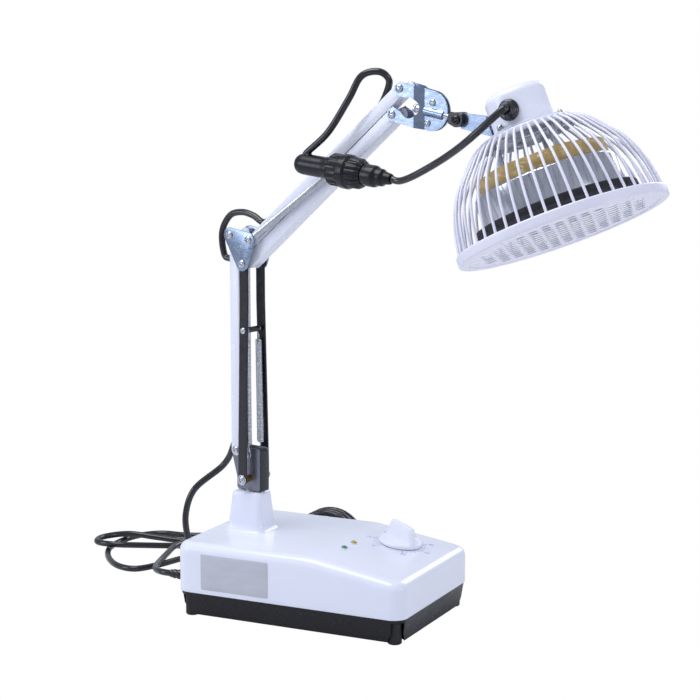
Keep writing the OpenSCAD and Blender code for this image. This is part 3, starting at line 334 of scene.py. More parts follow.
def surface(name, tones, tone_mm=14, rough=(0.25, 0.35), rough_mm=6, grain_mm=0.8, grain=0.02, stretch=(1, 1, 1),
            wear=None, **shader):
    """A solid finish: two tones mixed by broad cloudy noise, a roughness that wanders between two values, and a fine
    bump. Sizes are millimetres, grain is the bump's height in millimetres, stretch draws every pattern out along
    an axis, and wear is a tone laid where a second, patchy noise peaks."""
    finish = bpy.data.materials.new(name)
    finish.use_nodes = True
    tree = finish.node_tree
    shade = tree.nodes["Principled BSDF"]
    place = add(finish, "ShaderNodeTexCoord").outputs["Object"]
    place = add(finish, "ShaderNodeMapping", Vector=place, Scale=stretch).outputs[0]
    broad = add(finish, "ShaderNodeTexNoise", Vector=place, Scale=1000 / tone_mm, Detail=3.0).outputs[0]
    colour = add(finish, "ShaderNodeMix", data_type="RGBA", i0=broad, i6=linear(tones[0]),
                 i7=linear(tones[1])).outputs[2]
    if wear:
        patch = add(finish, "ShaderNodeTexNoise", Vector=place, Scale=1000 / wear[1], Detail=6.0,
                    Roughness=0.7).outputs[0]
        patch = add(finish, "ShaderNodeMapRange", Value=patch, From_Min=wear[2], From_Max=wear[2] + 0.12).outputs[0]
        colour = add(finish, "ShaderNodeMix", data_type="RGBA", i0=patch, i6=colour, i7=linear(wear[0])).outputs[2]
    cloud = add(finish, "ShaderNodeTexNoise", Vector=place, Scale=1000 / rough_mm, Detail=4.0).outputs[0]
    cloud = add(finish, "ShaderNodeMapRange", Value=cloud, From_Min=0.3, From_Max=0.7,
                To_Min=rough[0], To_Max=rough[1]).outputs[0]
    fine = add(finish, "ShaderNodeTexNoise", Vector=place, Scale=1000 / grain_mm, Detail=2.0).outputs[0]
    bump = add(finish, "ShaderNodeBump", Height=fine, Distance=grain / 1000, Strength=0.6).outputs[0]
    tree.links.new(colour, shade.inputs["Base Color"])
    tree.links.new(cloud, shade.inputs["Roughness"])
    tree.links.new(bump, shade.inputs["Normal"])
    for key, value in shader.items():
        shade.inputs[key.replace("_", " ")].default_value = value
    return finish


F = {}


def mix_finishes():
    """All finishes, each named for the real material and how its surface was made."""
    # moulded glossy ABS: an even cool white whose broad soft highlights swim a little with the mould's flow
    F["abs_white"] = surface("moulded_abs_white", ("#E4E8F6", "#E9ECF8"), 40, (0.2, 0.27), 18, 1.1, 0.006,
                             Coat_Weight=0.25, Coat_Roughness=0.08, IOR=1.5)
    # the knob's whiter moulding, satin where fingers turn it
    F["abs_knob"] = surface("moulded_abs_knob", ("#EDEFF9", "#F1F3FB"), 12, (0.28, 0.38), 5, 0.9, 0.008, IOR=1.5)
    # moulded matt-gloss ABS, near black with a violet cast, fine spark-eroded texture
    F["abs_black"] = surface("moulded_abs_black", ("#0C0B11", "#131219"), 25, (0.24, 0.36), 7, 0.6, 0.02,
                             Coat_Weight=0.1, Coat_Roughness=0.2, IOR=1.5, Specular_IOR_Level=0.3)
    # natural rubber feet: dull, with dust
    F["rubber"] = surface("moulded_rubber", ("#17171A", "#222226"), 6, (0.6, 0.8), 3, 0.5, 0.03)
    # extruded PVC lead jacket: glossy black, faintly wavy along its length
    F["lead"] = surface("extruded_pvc_jacket", ("#0B0B0F", "#121218"), 30, (0.2, 0.33), 7, 2.5, 0.05,
                        Coat_Weight=0.3, Coat_Roughness=0.15, IOR=1.52)
    # bright zinc-plated steel of screws, pins and nuts: small scratches break the glint
    F["zinc"] = surface("zinc_plated_steel", ("#B4B8C0", "#D2D5DA"), 3, (0.16, 0.34), 1.5, 0.25, 0.01, Metallic=1.0)
    # blue-passivated zinc on pressed plates: blue-grey with clouds and rolling streaks
    F["blue_zinc"] = surface("blue_passivated_steel", ("#75869F", "#A9B6C8"), 9, (0.2, 0.36), 4, 0.5, 0.01,
                             (1, 1, 2.5), Metallic=1.0)
    # spring wire: drawn and bright
    F["spring"] = surface("drawn_spring_steel", ("#BDC0C6", "#E0E2E6"), 4, (0.18, 0.3), 2, 0.3, 0.006, Metallic=1.0)
    # powder-coated white steel: orange peel of about 1.2 mm in a glossy skin
    F["coat_white"] = surface("powder_coat_white", ("#E6E9F6", "#EEF0FA"), 30, (0.2, 0.3), 8, 1.2, 0.03,
                              Coat_Weight=0.2, Coat_Roughness=0.1, IOR=1.5)
    # dipped white coating on the wires and the perforated guard, a touch lilac
    F["coat_guard"] = surface("dipped_vinyl_white", ("#E4E4F3", "#EEEEF9"), 22, (0.25, 0.36), 6, 0.9, 0.02, IOR=1.48)
    # black stoved enamel on strip steel
    F["enamel_black"] = surface("stoved_enamel_black", ("#0C0B11", "#15141B"), 18, (0.22, 0.36), 5, 0.7, 0.02,
                                wear=("#3A3A42", 7, 0.74), Coat_Weight=0.2, Coat_Roughness=0.15, IOR=1.5)
    # grey pressed steel bracket with a dull phosphate finish
    F["bracket"] = surface("phosphated_steel", ("#6E707C", "#8D8F9B"), 8, (0.32, 0.5), 3, 0.4, 0.01, Metallic=0.85)
    # turned brass
    F["brass"] = surface("turned_brass", ("#B07A2C", "#D3A452"), 3, (0.2, 0.35), 2, 0.3, 0.01, Metallic=1.0)
    # spun stainless cup: tall dark and bright streaks painted into its colour are painted reflections, drawn out
    # upright like its fine drawing lines
    F["cup"] = surface("spun_stainless_painted_streaks", ("#A8ABB2", "#D5D7DC"), 5, (0.1, 0.24), 4, 0.5, 0.006, (1, 1, 0.12),
                       Metallic=1.0, Anisotropic=0.4)
    # pressed mineral plate: dark, dry, with pale specks
    F["mineral"] = surface("pressed_mineral_plate", ("#17161C", "#2A2830"), 4, (0.6, 0.85), 3, 0.7, 0.08,
                           wear=("#5A5650", 2, 0.68))
    # fired clay of the heating element
    F["clay"] = surface("fired_clay", ("#8A7860", "#A8967C"), 8, (0.7, 0.9), 3, 0.8, 0.1)
    # cast iron ballast with a thin oxide
    F["iron"] = surface("cast_iron", ("#3A3A3D", "#55504C"), 10, (0.5, 0.75), 4, 1.2, 0.15, Metallic=0.7,
                        wear=("#6B4A34", 9, 0.62))
    # glass-fibre insulation: gold-brown woven tape with pale and scorched patches
    F["tape"] = surface("glass_fibre_tape", ("#8E7038", "#D2B878"), 5, (0.5, 0.8), 3, 1.1, 0.5,
                        wear=("#F0E4BC", 6, 0.56), Sheen_Weight=0.3)
    # cream nylon of the timer's case and shaft
    F["nylon"] = surface("moulded_nylon", ("#C9C4B2", "#D8D4C6"), 12, (0.4, 0.55), 4, 0.6, 0.01)
    # epoxy board with solder mask
    F["board"] = surface("solder_mask", ("#1F5B3C", "#2C7350"), 6, (0.25, 0.4), 3, 0.8, 0.02)
    # coloured polycarbonate lenses, lit softly from within by the room
    F["green"] = surface("green_polycarbonate", ("#0A7A3E", "#12A050"), 3, (0.12, 0.2), 3, 0.6, 0.004,
                         Transmission_Weight=0.25, Coat_Weight=0.6, IOR=1.58)
    F["yellow"] = surface("yellow_polycarbonate", ("#A8921C", "#C8B62E"), 3, (0.12, 0.2), 3, 0.6, 0.004,
                          Transmission_Weight=0.25, Coat_Weight=0.6, IOR=1.58)
    # satin silver polyester plate, left bare
    F["plate"] = surface("satin_silver_foil", ("#B9BBC4", "#CBCDD6"), 18, (0.38, 0.5), 9, 0.35, 0.006, (1, 1, 4),
                         Metallic=0.45)
    # blue screen-printed ink
    F["ink"] = surface("screen_print_blue", ("#3E7EC6", "#5B9AD8"), 4, (0.45, 0.6), 3, 0.3, 0.01)
    # polished plated rod between wrist and fork
    F["rod"] = surface("polished_plated_rod", ("#C6C9D0", "#DADCE2"), 6, (0.08, 0.18), 3, 0.3, 0.004, Metallic=1.0)
    # bare cord pins
    F["pin_brass"] = surface("nickelled_brass", ("#B9B08C", "#D6CDA8"), 4, (0.18, 0.3), 2, 0.4, 0.006, Metallic=1.0)


# ---------------------------------------------------------------- sizes and colours that a user would change
class LampSettings(bpy.types.PropertyGroup):
    """Sizes and colours of the lamp's visible pieces."""
    floor_colour: bpy.props.FloatVectorProperty(name="Floor", description="Colour of the studio floor",
                                                subtype="COLOR", size=4, min=0, max=1, default=(0.8, 0.8, 0.8, 1))
    light_power: bpy.props.FloatProperty(name="Light", description="Power of the main soft light in watts",
                                         default=4.6, min=0, soft_max=60)
    lead_sides: bpy.props.IntProperty(name="Lead sides", description="Facets round a lead", default=20, min=8, max=48)
    lead_diameter: bpy.props.FloatProperty(name="Lead", description="Diameter of the leads", default=LEAD_D / 1000,
                                           unit="LENGTH", precision=4)
    lathe_sides: bpy.props.IntProperty(name="Round sides", description="Facets round a turned piece", default=128,
                                       min=24, max=256)
    wires: bpy.props.IntProperty(name="Cage wires", description="Number of wires in the guard", default=48, min=24,
                                 max=56)
    wire_diameter: bpy.props.FloatProperty(name="Cage wire", description="Diameter of a cage wire", default=0.0024,
                                           unit="LENGTH", precision=4)
    spring_turns: bpy.props.IntProperty(name="Spring turns", description="Turns of a balance spring", default=78,
                                        min=20, max=110)
    tick_count: bpy.props.IntProperty(name="Dial ticks", description="Marks round the timer's knob", default=31,
                                      min=0, max=61)


def settings():
    """The scene's lamp settings."""
    return bpy.context.scene.heat_lamp


# ---------------------------------------------------------------- stage
class LAMP_OT_stage(bpy.types.Operator):
    """Camera at the photograph's angle, a pale floor and soft studio light"""
    bl_idname = "heat_lamp.stage"
    bl_label = "Stage"

    def execute(self, context):
        scene = context.scene
        scene.view_settings.view_transform = "Standard"
        back = np.array([0.43464, -0.88723, 0.15471])
        right = np.array([0.89803, 0.43994, 0.0])
        back /= np.linalg.norm(back)
        right /= np.linalg.norm(right)
        up = np.cross(back, right)
        eye = base(1793.7 * back + 24.65 * right + 244.76 * up)
        data = bpy.data.cameras.new("camera")
        data.sensor_width, data.lens = 36, 1900 / 700 * 36
        data.clip_start, data.clip_end = 0.05, 60
        camera = bpy.data.objects.new("camera", data)
        scene.collection.objects.link(camera)
        matrix = Matrix.Identity(4)
        for k in range(3):
            matrix[k][0], matrix[k][1], matrix[k][2], matrix[k][3] = right[k], up[k], back[k], eye[k]
        camera.matrix_world = matrix
        scene.camera = camera

        floor = bpy.data.meshes.new("floor")
        t = np.linspace(0, 2 * math.pi, 65)[:-1]
        ring = np.stack([6 * np.cos(t), 6 * np.sin(t), 0 * t - 0.0002], -1)
        floor.from_pydata(ring.tolist(), [], [list(range(64))])
        paint = bpy.data.materials.new("studio_floor")
        paint.use_nodes = True
        shade = paint.node_tree.nodes["Principled BSDF"]
        shade.inputs["Base Color"].default_value = context.scene.heat_lamp.floor_colour
        shade.inputs["Roughness"].default_value = 0.85
        path = add(paint, "ShaderNodeLightPath")
        seen = add(paint, "ShaderNodeMath", operation="MAXIMUM", i0=path.outputs["Is Camera Ray"],
                   i1=path.outputs["Is Transmission Ray"]).outputs[0]
        seen = add(paint, "ShaderNodeMath", operation="MULTIPLY", i0=seen, i1=1.0).outputs[0]
        white = add(paint, "ShaderNodeEmission", Color=(1, 1, 1, 1), Strength=1.0).outputs[0]
        mixed = add(paint, "ShaderNodeMixShader", Fac=seen, i1=shade.outputs[0], i2=white).outputs[0]
        out = paint.node_tree.nodes["Material Output"]
        paint.node_tree.links.new(mixed, out.inputs["Surface"])
        floor.materials.append(paint)
        ground = bpy.data.objects.new("floor", floor)
        scene.collection.objects.link(ground)

        world = bpy.data.worlds.new("studio")
        scene.world = world
        world.use_nodes = True
        nodes, links = world.node_tree.nodes, world.node_tree.links
        sky = nodes["Background"]
        sky.inputs["Color"].default_value = linear("#DDE4F4")
        sky.inputs["Strength"].default_value = 0.62
        plain = nodes.new("ShaderNodeBackground")
        plain.inputs["Color"].default_value = (1, 1, 1, 1)
        path = nodes.new("ShaderNodeLightPath")
        mixed = nodes.new("ShaderNodeMixShader")
        links.new(path.outputs["Is Camera Ray"], mixed.inputs[0])
        links.new(sky.outputs[0], mixed.inputs[1])
        links.new(plain.outputs[0], mixed.inputs[2])
        links.new(mixed.outputs[0], nodes["World Output"].inputs["Surface"])

        power = context.scene.heat_lamp.light_power
        aim = base([60, 0, 220])
        for name, place, size, share, colour in (
                ("overhead", (-250, -300, 1350), 0.9, 1.0, "#FFFFFF"),
                ("front_left", (-1300, -1100, 700), 0.8, 0.75, "#E8EEFF"),
                ("right", (1500, -300, 600), 0.6, 0.42, "#F4F2FF"),
                ("behind", (300, 1400, 900), 0.8, 0.55, "#FFFFFF")):
            lamp = bpy.data.lights.new(name, "AREA")
            lamp.shape, lamp.size, lamp.energy = "DISK", size, power * share * 2
            lamp.color = linear(colour)[:3]
            light = bpy.data.objects.new(name, lamp)
            scene.collection.objects.link(light)
            light.location = base(place)
            away = (light.location - Matrix.Translation(aim.tolist()).translation).normalized()
            light.rotation_euler = away.to_track_quat("Z", "Y").to_euler()
        return {"FINISHED"}


# ---------------------------------------------------------------- leads
REAR_LEAD = REAR_LOW[0] - 2 - LEAD_D / 2 - 0.3
OVER_PIN = 2 + LEAD_D / 2 + 0.3
CONNECTOR = np.array([90, -28, 421.5])
CONNECTOR_ALONG = np.array([95, 0, -9.5]) / math.hypot(95, 9.5)
NOSE = CONNECTOR + 98 * CONNECTOR_ALONG
GLAND_TURN = math.radians(13)


def on_bar(along, above):
    """A point beside the upper guide bar, from its elbow pivot."""
    p = OUTER + along * ALONG + above * ABOVE
    return [p[0], 0, p[1]]


def beside_base(p):
    """A point of the base's frame in the arm's."""
    x, y = p[0] - SWIVEL_X, p[1]
    c, s = math.cos(TURN), math.sin(TURN)
    return [x * c + y * s, -x * s + y * c, p[2]]


def gland_point(out, low=0):
    """A point on the head lead's way out of the cap."""
    s, c = math.sin(GLAND_TURN), math.cos(GLAND_TURN)
    return head_to_arm([(27 + out) * s - low, -(27 + out) * c, 107 - low]).tolist()


HEAD_LEAD = [
    ("lead_from_base", "base", "arm_bracket",
     [beside_base(p) for p in ([-126, -14, 38], [-132, -14, 41], [-140, -14, 58], [-143, -12, 80], [-136, -6, 104])]),
    ("lead_lower_arm", "arm_bracket", "rear_arm",
     [[-38, 2, 126], [-24, 1, 146], [REAR_LEAD, 0, 168], [REAR_LEAD, 0, 240], [REAR_LEAD, 0, 318]]),
    ("lead_elbow", "rear_arm", "elbow", [[-31, 0, 330], [-34, 0, 352], [-24, 0, 368], [-9, 0, 372]]),
    ("lead_upper_arm", "elbow", "guide_arm",
     [[5, 0, 369.5], on_bar(16, 7.4), on_bar(34, OVER_PIN - 1), on_bar(60, 1.5), on_bar(160, 1.5),
      on_bar(185, OVER_PIN - 1)]),
    ("lead_loop", "guide_arm", "wrist",
     [on_bar(200, 9), [166, -5, 496], [160, -12, 503], [145, -17, 499], [134, -21, 479], [115, -26, 450],
      [92, -28, 431], (CONNECTOR + [6, 0, 8]).tolist()]),
    ("lead_to_fork", "wrist", "fork", [NOSE.tolist(), (NOSE + 8 * CONNECTOR_ALONG).tolist(), [212, -31, 416],
                                       [238, -34, 428]]),
    ("lead_to_head", "fork", "head", [[262, -40, 440], [284, -46, 453], gland_point(16, 1), gland_point(9)]),
]
GROUND = LEAD_D / 2 + 0.05
OVER = 9.6
COIL = (-41, 104)
COIL_R = 33.3
RELIEF_END = [-164, -6, 16.5]
ROUTE = [RELIEF_END, [-176, -5, 16.4], [-190, 7, 14.6], [-202, 29, 12.6], [-213, 54, OVER], [-221, 80, OVER],
         [-228, 104, OVER], [-227, 126, OVER], [-222, 152, OVER], [-210, 176, OVER], [-189, 187, OVER],
         [-170, 174, OVER], [-180, 157, 6], [-209, 149, GROUND], [-236, 132, GROUND], [-264, 104, 7], [-288, 85, OVER],
         [-311, 86, OVER], [-317, 106, OVER], [-300, 129, OVER], [-272, 141, 6], [-243, 150, GROUND],
         [-218, 161, GROUND], [-190, 169, GROUND], [-160, 171, GROUND], [-138, 186, GROUND], [-137, 208, GROUND],
         [-157, 222, GROUND], [-186, 213, GROUND], [-216, 191, GROUND], [-252, 173, GROUND], [-282, 168, GROUND],
         [-300, 148, GROUND], [-304, 118, GROUND], [-298, 88, GROUND], [-279, 58, GROUND], [-254, 36, GROUND],
         [-231, 33, GROUND], [-218, 56, GROUND], [-209, 88, GROUND], [-196, 113, GROUND], [-170, 122, GROUND],
         [-130, 119, GROUND], [-90, 108, GROUND], [-62, 104, GROUND], [-47.2, 104, GROUND]]
PLUG_END = np.array([22, 96, 10.0])
COIL_OUT = np.array([COIL[0] + 6.2, COIL[1] - 6.9 * 3, GROUND])
TAIL = [COIL_OUT, COIL_OUT + [12, 0, 0.6], COIL_OUT + [28, 3, 2.4], PLUG_END - [14, 2.6, 2], PLUG_END - [0.6, 0.1, 0]]


class LAMP_OT_leads(bpy.types.Operator):
    """The head's lead, one piece for each joint that it crosses, and the mains lead with its coil and plug"""
    bl_idname = "heat_lamp.leads"
    bl_label = "Leads"

    def execute(self, context):
        sides, diameter = settings().lead_sides, settings().lead_diameter
        plug = self.plug()
        t = np.linspace(0, 2 * math.pi * 3, 145)[1:]
        ring = np.stack([COIL[0] + COIL_R * np.sin(t), COIL[1] - 6.9 * t / (2 * math.pi),
                         GROUND + COIL_R * (1 - np.cos(t))], -1)
        path = np.concatenate([curve(ROUTE, 8), [[COIL[0], COIL[1], GROUND]], ring, curve(TAIL, 8)])
        path = base(path)
        mains = make("mains_lead_route", [tube(path, diameter / 2, sides, (0, 0, 1))], F["lead"], "base",
                     ("mains_lead", "mains_coil"), "cord_rubber", carry=np.asarray)
        base(RELIEF_END)

        steps = 10
        for parts in (HEAD_LEAD[:5], HEAD_LEAD[5:]):
            whole = curve([p for part in parts for p in part[3]], steps)
            cut = 0
            for k, (name, low, high, own) in enumerate(parts):
                end = cut + steps * (len(own) - (k == 0))
                path = arm(whole[cut:end + 1])
                piece = make(name + "_jacket", [tube(path, diameter / 2, sides)], F["lead"], low, (name,),
                             "cord_rubber", carry=np.asarray, ride=False)
                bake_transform(piece)
                cut = end
        return {"FINISHED"}

    @staticmethod
    def plug():
        """A round-pin plug: a collar, a body drawn round a square and two half circles, and brass pins."""
        turn = math.radians(12)

        def carry(p):
            p = np.asarray(p, float)
            c, s = math.cos(turn), math.sin(turn)
            return base(np.stack([PLUG_END[0] + p[..., 0] * c - p[..., 1] * s,
                                  PLUG_END[1] + p[..., 0] * s + p[..., 1] * c, PLUG_END[2] + p[..., 2]], -1))

        def along(shell):
            return np.stack([shell[0][:, 2], shell[0][:, 1], -shell[0][:, 0]], -1), shell[1]

        ribs = [(0, 0), (3.9, 0)]
        for k in range(6):
            ribs += [(4.0 + 0.28 * k, 0.6 + 3 * k), (4.3 + 0.28 * k, 1 + 3 * k), (4.3 + 0.28 * k, 2.6 + 3 * k),
                     (3.7 + 0.28 * k, 2.9 + 3 * k)]
        collar = along(lathe(ribs + [(6, 20), (0, 20)], 48))
        outline = hull((31.5, 13.5, 1.5), (31.5, -13.5, 1.5), (12, 8, 3), (12, -8, 3), (27, 14, 0.9), (27, -14, 0.9))
        body = slab(outline + [10, 0], -9.7, 9.7, 3.2, 2)
        prong = along(lathe([(0, 42), (2.4, 42), (2.4, 68.6), (2.0, 69.6), (1.2, 70), (0, 70)], 40))
        made = make("plug_body", [collar, body], F["abs_black"], "base", ("mains_plug",), "black_abs", carry)
        prongs = make("plug_pin_pair", [moved(prong, (0, 6.4, 0)), moved(prong, (0, -6.4, 0))], F["pin_brass"],
                      "base", ("plug_pins",), "pin_brass", carry)
        return [made, prongs]


class LAMP_OT_lead_fittings(bpy.types.Operator):
    """Strain reliefs, the head's gland and the inline connector"""
    bl_idname = "heat_lamp.lead_fittings"
    bl_label = "Lead fittings"

    def execute(self, context):
        def relief(reach, root):
            rings = [(3.0, -2), (7, -2), (7, 2.4), (root / 2, 2.6)]
            count = max(3, int(reach / 5))
            for k in range(count):
                f = k / count
                r = root / 2 * (1 - f) + 4.2 * f
                a = 2.6 + (reach - 3) * f
                step = (reach - 3) / count
                rings += [(r, a + 0.1 * step), (r - 0.1, a + 0.55 * step), (r - 0.9, a + 0.65 * step),
                          (r - 0.9, a + 0.92 * step)]
            return rings + [(4.0, reach), (3.0, reach)]

        def leftward(place):
            def carry(p):
                p = np.asarray(p, float)
                return base(np.stack([place[0] - p[..., 2], place[1] + p[..., 1], place[2] + p[..., 0]], -1))
            return carry

        low = lathe(relief(49.8, 13.6), 48, True)
        high = lathe(relief(11.6, 13.6), 48, True)
        points = np.concatenate([leftward([-114, -6, 16.5])(low[0]), leftward([-116, -14, 38])(high[0])])
        faces = low[1] + [[k + len(low[0]) for k in f] for f in high[1]]
        make("strain_relief_pair", [(points, faces)], F["lead"], "base", ("strain_reliefs",), "cord_rubber",
             np.asarray)

        gland = lathe(rounded([(3.0, -4.6), (7.4, -4.6), (6, -3.4), (6, 0.6), (9.2, 0.6), (8.8, 3), (6.9, 4.4), (4.9, 9),
                               (3.0, 9), (3.0, -4.6)], 0.8), 56)

        def at_gland(p):
            p = np.asarray(p, float)
            x, y, z = p[..., 0], -27 - p[..., 2], 107 + p[..., 1]
            c, s = math.cos(GLAND_TURN), math.sin(GLAND_TURN)
            return head(np.stack([x * c - y * s, x * s + y * c, z], -1))
        make("head_grommet", [gland], F["lead"], "head", ("head_gland",), "cord_rubber", at_gland)

        side = np.array([0, 1, 0])
        up = np.cross(CONNECTOR_ALONG, side) * -1

        def at_connector(p):
            p = np.asarray(p, float)
            return arm(CONNECTOR + p[..., 2:] * CONNECTOR_ALONG + p[..., 1:2] * side + p[..., :1] * up)
        rear = lathe(rounded([(0, -9), (5, -8.4), (8.4, -5), (9.4, 0), (9.4, 24), (10.4, 30), (10.4, 32), (0, 32)], 2), 72)
        t = np.linspace(0, 2 * math.pi, 144, endpoint=False)
        rib = 0.55 * np.clip(np.cos(18 * t) * 1.6, -1, 1) - 0.55

        def ribbed(profile, marks):
            r, h = np.array(profile, float).T
            ring = r[:, None] + rib[None] * np.array(marks, float)[:, None]
            return grid(np.stack([ring * np.cos(t), ring * np.sin(t), np.repeat(h[:, None], 144, 1)], -1))
        nut = ribbed([(0, 32.05), (11.4, 32.05), (14, 33.6), (14.4, 34.6), (14.4, 44), (15.2, 46), (15.2, 52), (13.6, 54.6),
                      (13.4, 63), (12.4, 65), (10, 68), (0, 68)], [0, 0, 0, 1, 1, 0, 0, 0, 1, 1, 0, 0])
        front = lathe(rounded([(0, 68.05), (9.6, 68.05), (9.6, 80), (7.6, 83), (7.6, 88), (5.6, 90), (4.6, 97), (0, 97)],
                              1.4), 72)
        make("inline_plug_and_socket", [rear, nut, front], F["abs_black"], "wrist", ("inline_connector",), "black_abs",
             at_connector, 30)
        return {"FINISHED"}


# ---------------------------------------------------------------- base
def cover_height(x):
    """Height of the deck at x: flat, then one straight slope, the crease between them softened."""
    return 71 - math.tan(DECK_TILT) * 2.5 * np.logaddexp(0, (x - 21.6) / 2.5)


class LAMP_OT_cover(bpy.types.Operator):
    """The white cover: a rounded outline carried up the side, over the deck's edge and in to the middle"""
    bl_idname = "heat_lamp.cover"
    bl_label = "Base cover"

    def execute(self, context):
        l, w, r, e = 116.0, 78.0, 14.0, 9.0      # half length, half width, corner and edge radius
        wall = 2.4
        lip_z = 24.5
        t = np.linspace(0, 2 * math.pi, 480, endpoint=False)
        q = np.stack([np.cos(t), np.sin(t)], -1)
        q = np.sign(q) * np.abs(q) ** 0.5
        square = q / np.abs(q).max(1)[:, None]

        def ring(inward):
            """The outline moved inward: corner arcs shrink to points at 14 mm, then the rectangle shrinks."""
            half = np.array([l, w]) - inward
            corner_r = max(r - inward, 0)
            out = square * half
            over = np.abs(out) - (half - corner_r)
            corner = (over > 0).all(1) & (corner_r > 0)
            v = np.maximum(over, 0)
            n = np.linalg.norm(v, axis=1, keepdims=True) + 1e-9
            return np.where(corner[:, None], np.sign(out) * (np.abs(out) - v + v / n * corner_r), out)

        def top(flat):
            """Height of the deck over an outline, level beyond its two ends."""
            return cover_height(np.clip(flat[:, 0], -110, 107))

        def level(flat, z):
            return np.stack([flat[:, 0], flat[:, 1], np.broadcast_to(z, len(flat))], -1)

        rows = [level(ring(inward), lip) for inward, lip in ((wall, 24.0), (0.5, 24.0), (0.15, 24.15), (0, lip_z))]
        side = ring(0)
        rows += [level(side, lip_z + f * (top(side) - e - lip_z)) for f in np.linspace(0, 1, 14)[1:]]
        for a in np.linspace(0, math.pi / 2, 12)[1:]:
            flat = ring(e * (1 - math.cos(a)))
            rows.append(level(flat, top(flat) - e + e * math.sin(a)))
        for f in np.linspace(0, 1, 26)[1:]:
            flat = ring(e) * (1 - f)
            rows.append(level(flat, top(flat)))
        inner = []
        for f in np.linspace(1, 0, 6):
            flat = ring(e) * (1 - f)
            inner.append(level(flat, top(flat) - wall))
        flat = ring(wall)
        inner.append(level(flat, top(flat) - e))
        shell = grid(np.array(rows[::-1] + inner[::-1]))

        # the pedestal: rounded rectangles stacked along a flared side, a rolled top edge and the stem's hole
        rows = []
        for z, half_l, half_w, radius in (
                (60, 25.5, 23.5, 13), (68, 24.6, 22.6, 12.5), (70.4, 23.4, 21.4, 11.6), (71.4, 21.8, 19.8, 10),
                (73, 20.3, 18.3, 8.4), (75.6, 19.1, 17.1, 7.2), (79, 18.3, 16.3, 6.8), (92, 16.8, 14.8, 6.1),
                (104.5, 15.4, 13.4, 5.6), (106, 15.1, 13.1, 5.5), (107.1, 14.5, 12.5, 5.2), (107.75, 13.6, 11.6, 4.7),
                (108, 12.6, 10.6, 4.2)):
            rows.append(level(stadium(2 * half_l, 2 * half_w, radius, 96), z))
        a = np.linspace(0, 2 * math.pi, 96, endpoint=False)
        for radius, z in ((7.2, 108), (6.7, 107.5), (6.7, 98)):
            rows.append(level(radius * np.stack([np.cos(a), np.sin(a)], -1), z))
        pedestal = moved(grid(np.array(rows), caps=(True, True)), (SWIVEL_X, 0, 0))
        make("cover_moulding", [shell, pedestal], F["abs_white"], "base", ("base_cover",), "white_abs", base, 34)
        return {"FINISHED"}


class LAMP_OT_tray(bpy.types.Operator):
    """The black tray, its feet and the parts inside the base"""
    bl_idname = "heat_lamp.tray"
    bl_label = "Tray and inner parts"

    def execute(self, context):
        dress(F["abs_black"], "base_tray")
        dress(F["rubber"], "rubber_feet")
        dress(F["zinc"], "cover_screws", "socket_tube", "swivel_stem")
        dress(F["iron"], "ballast_plate")
        dress(F["nylon"], "timer_body", "timer_shaft")
        dress(F["board"], "lamp_board")
        return {"FINISHED"}


class LAMP_OT_label(bpy.types.Operator):
    """The bare silver plate on the front: a grid that follows the cover's side and edge, 0.25 mm thick"""
    bl_idname = "heat_lamp.label"
    bl_label = "Blank plate"

    def execute(self, context):
        outline = stadium(70.5, 33.5, 1.6, 96)
        rings = []
        for inner, off in ((1.0, 0.0), (1.0, 0.18), (0.993, 0.25), (0.66, 0.25), (0.33, 0.25), (0.0, 0.25)):
            p = outline * inner + [-52.75, 45.2]
            edge = np.clip(p[:, 1] - 62, 0, None)
            inward = 9 - np.sqrt(81 - edge ** 2)
            rings.append(np.stack([p[:, 0], -78 + inward - off, p[:, 1]], -1))
        make("blank_plate", [grid(np.array(rings), caps=(True, False))], F["plate"], "base", (), None, base, 30)
        return {"FINISHED"}


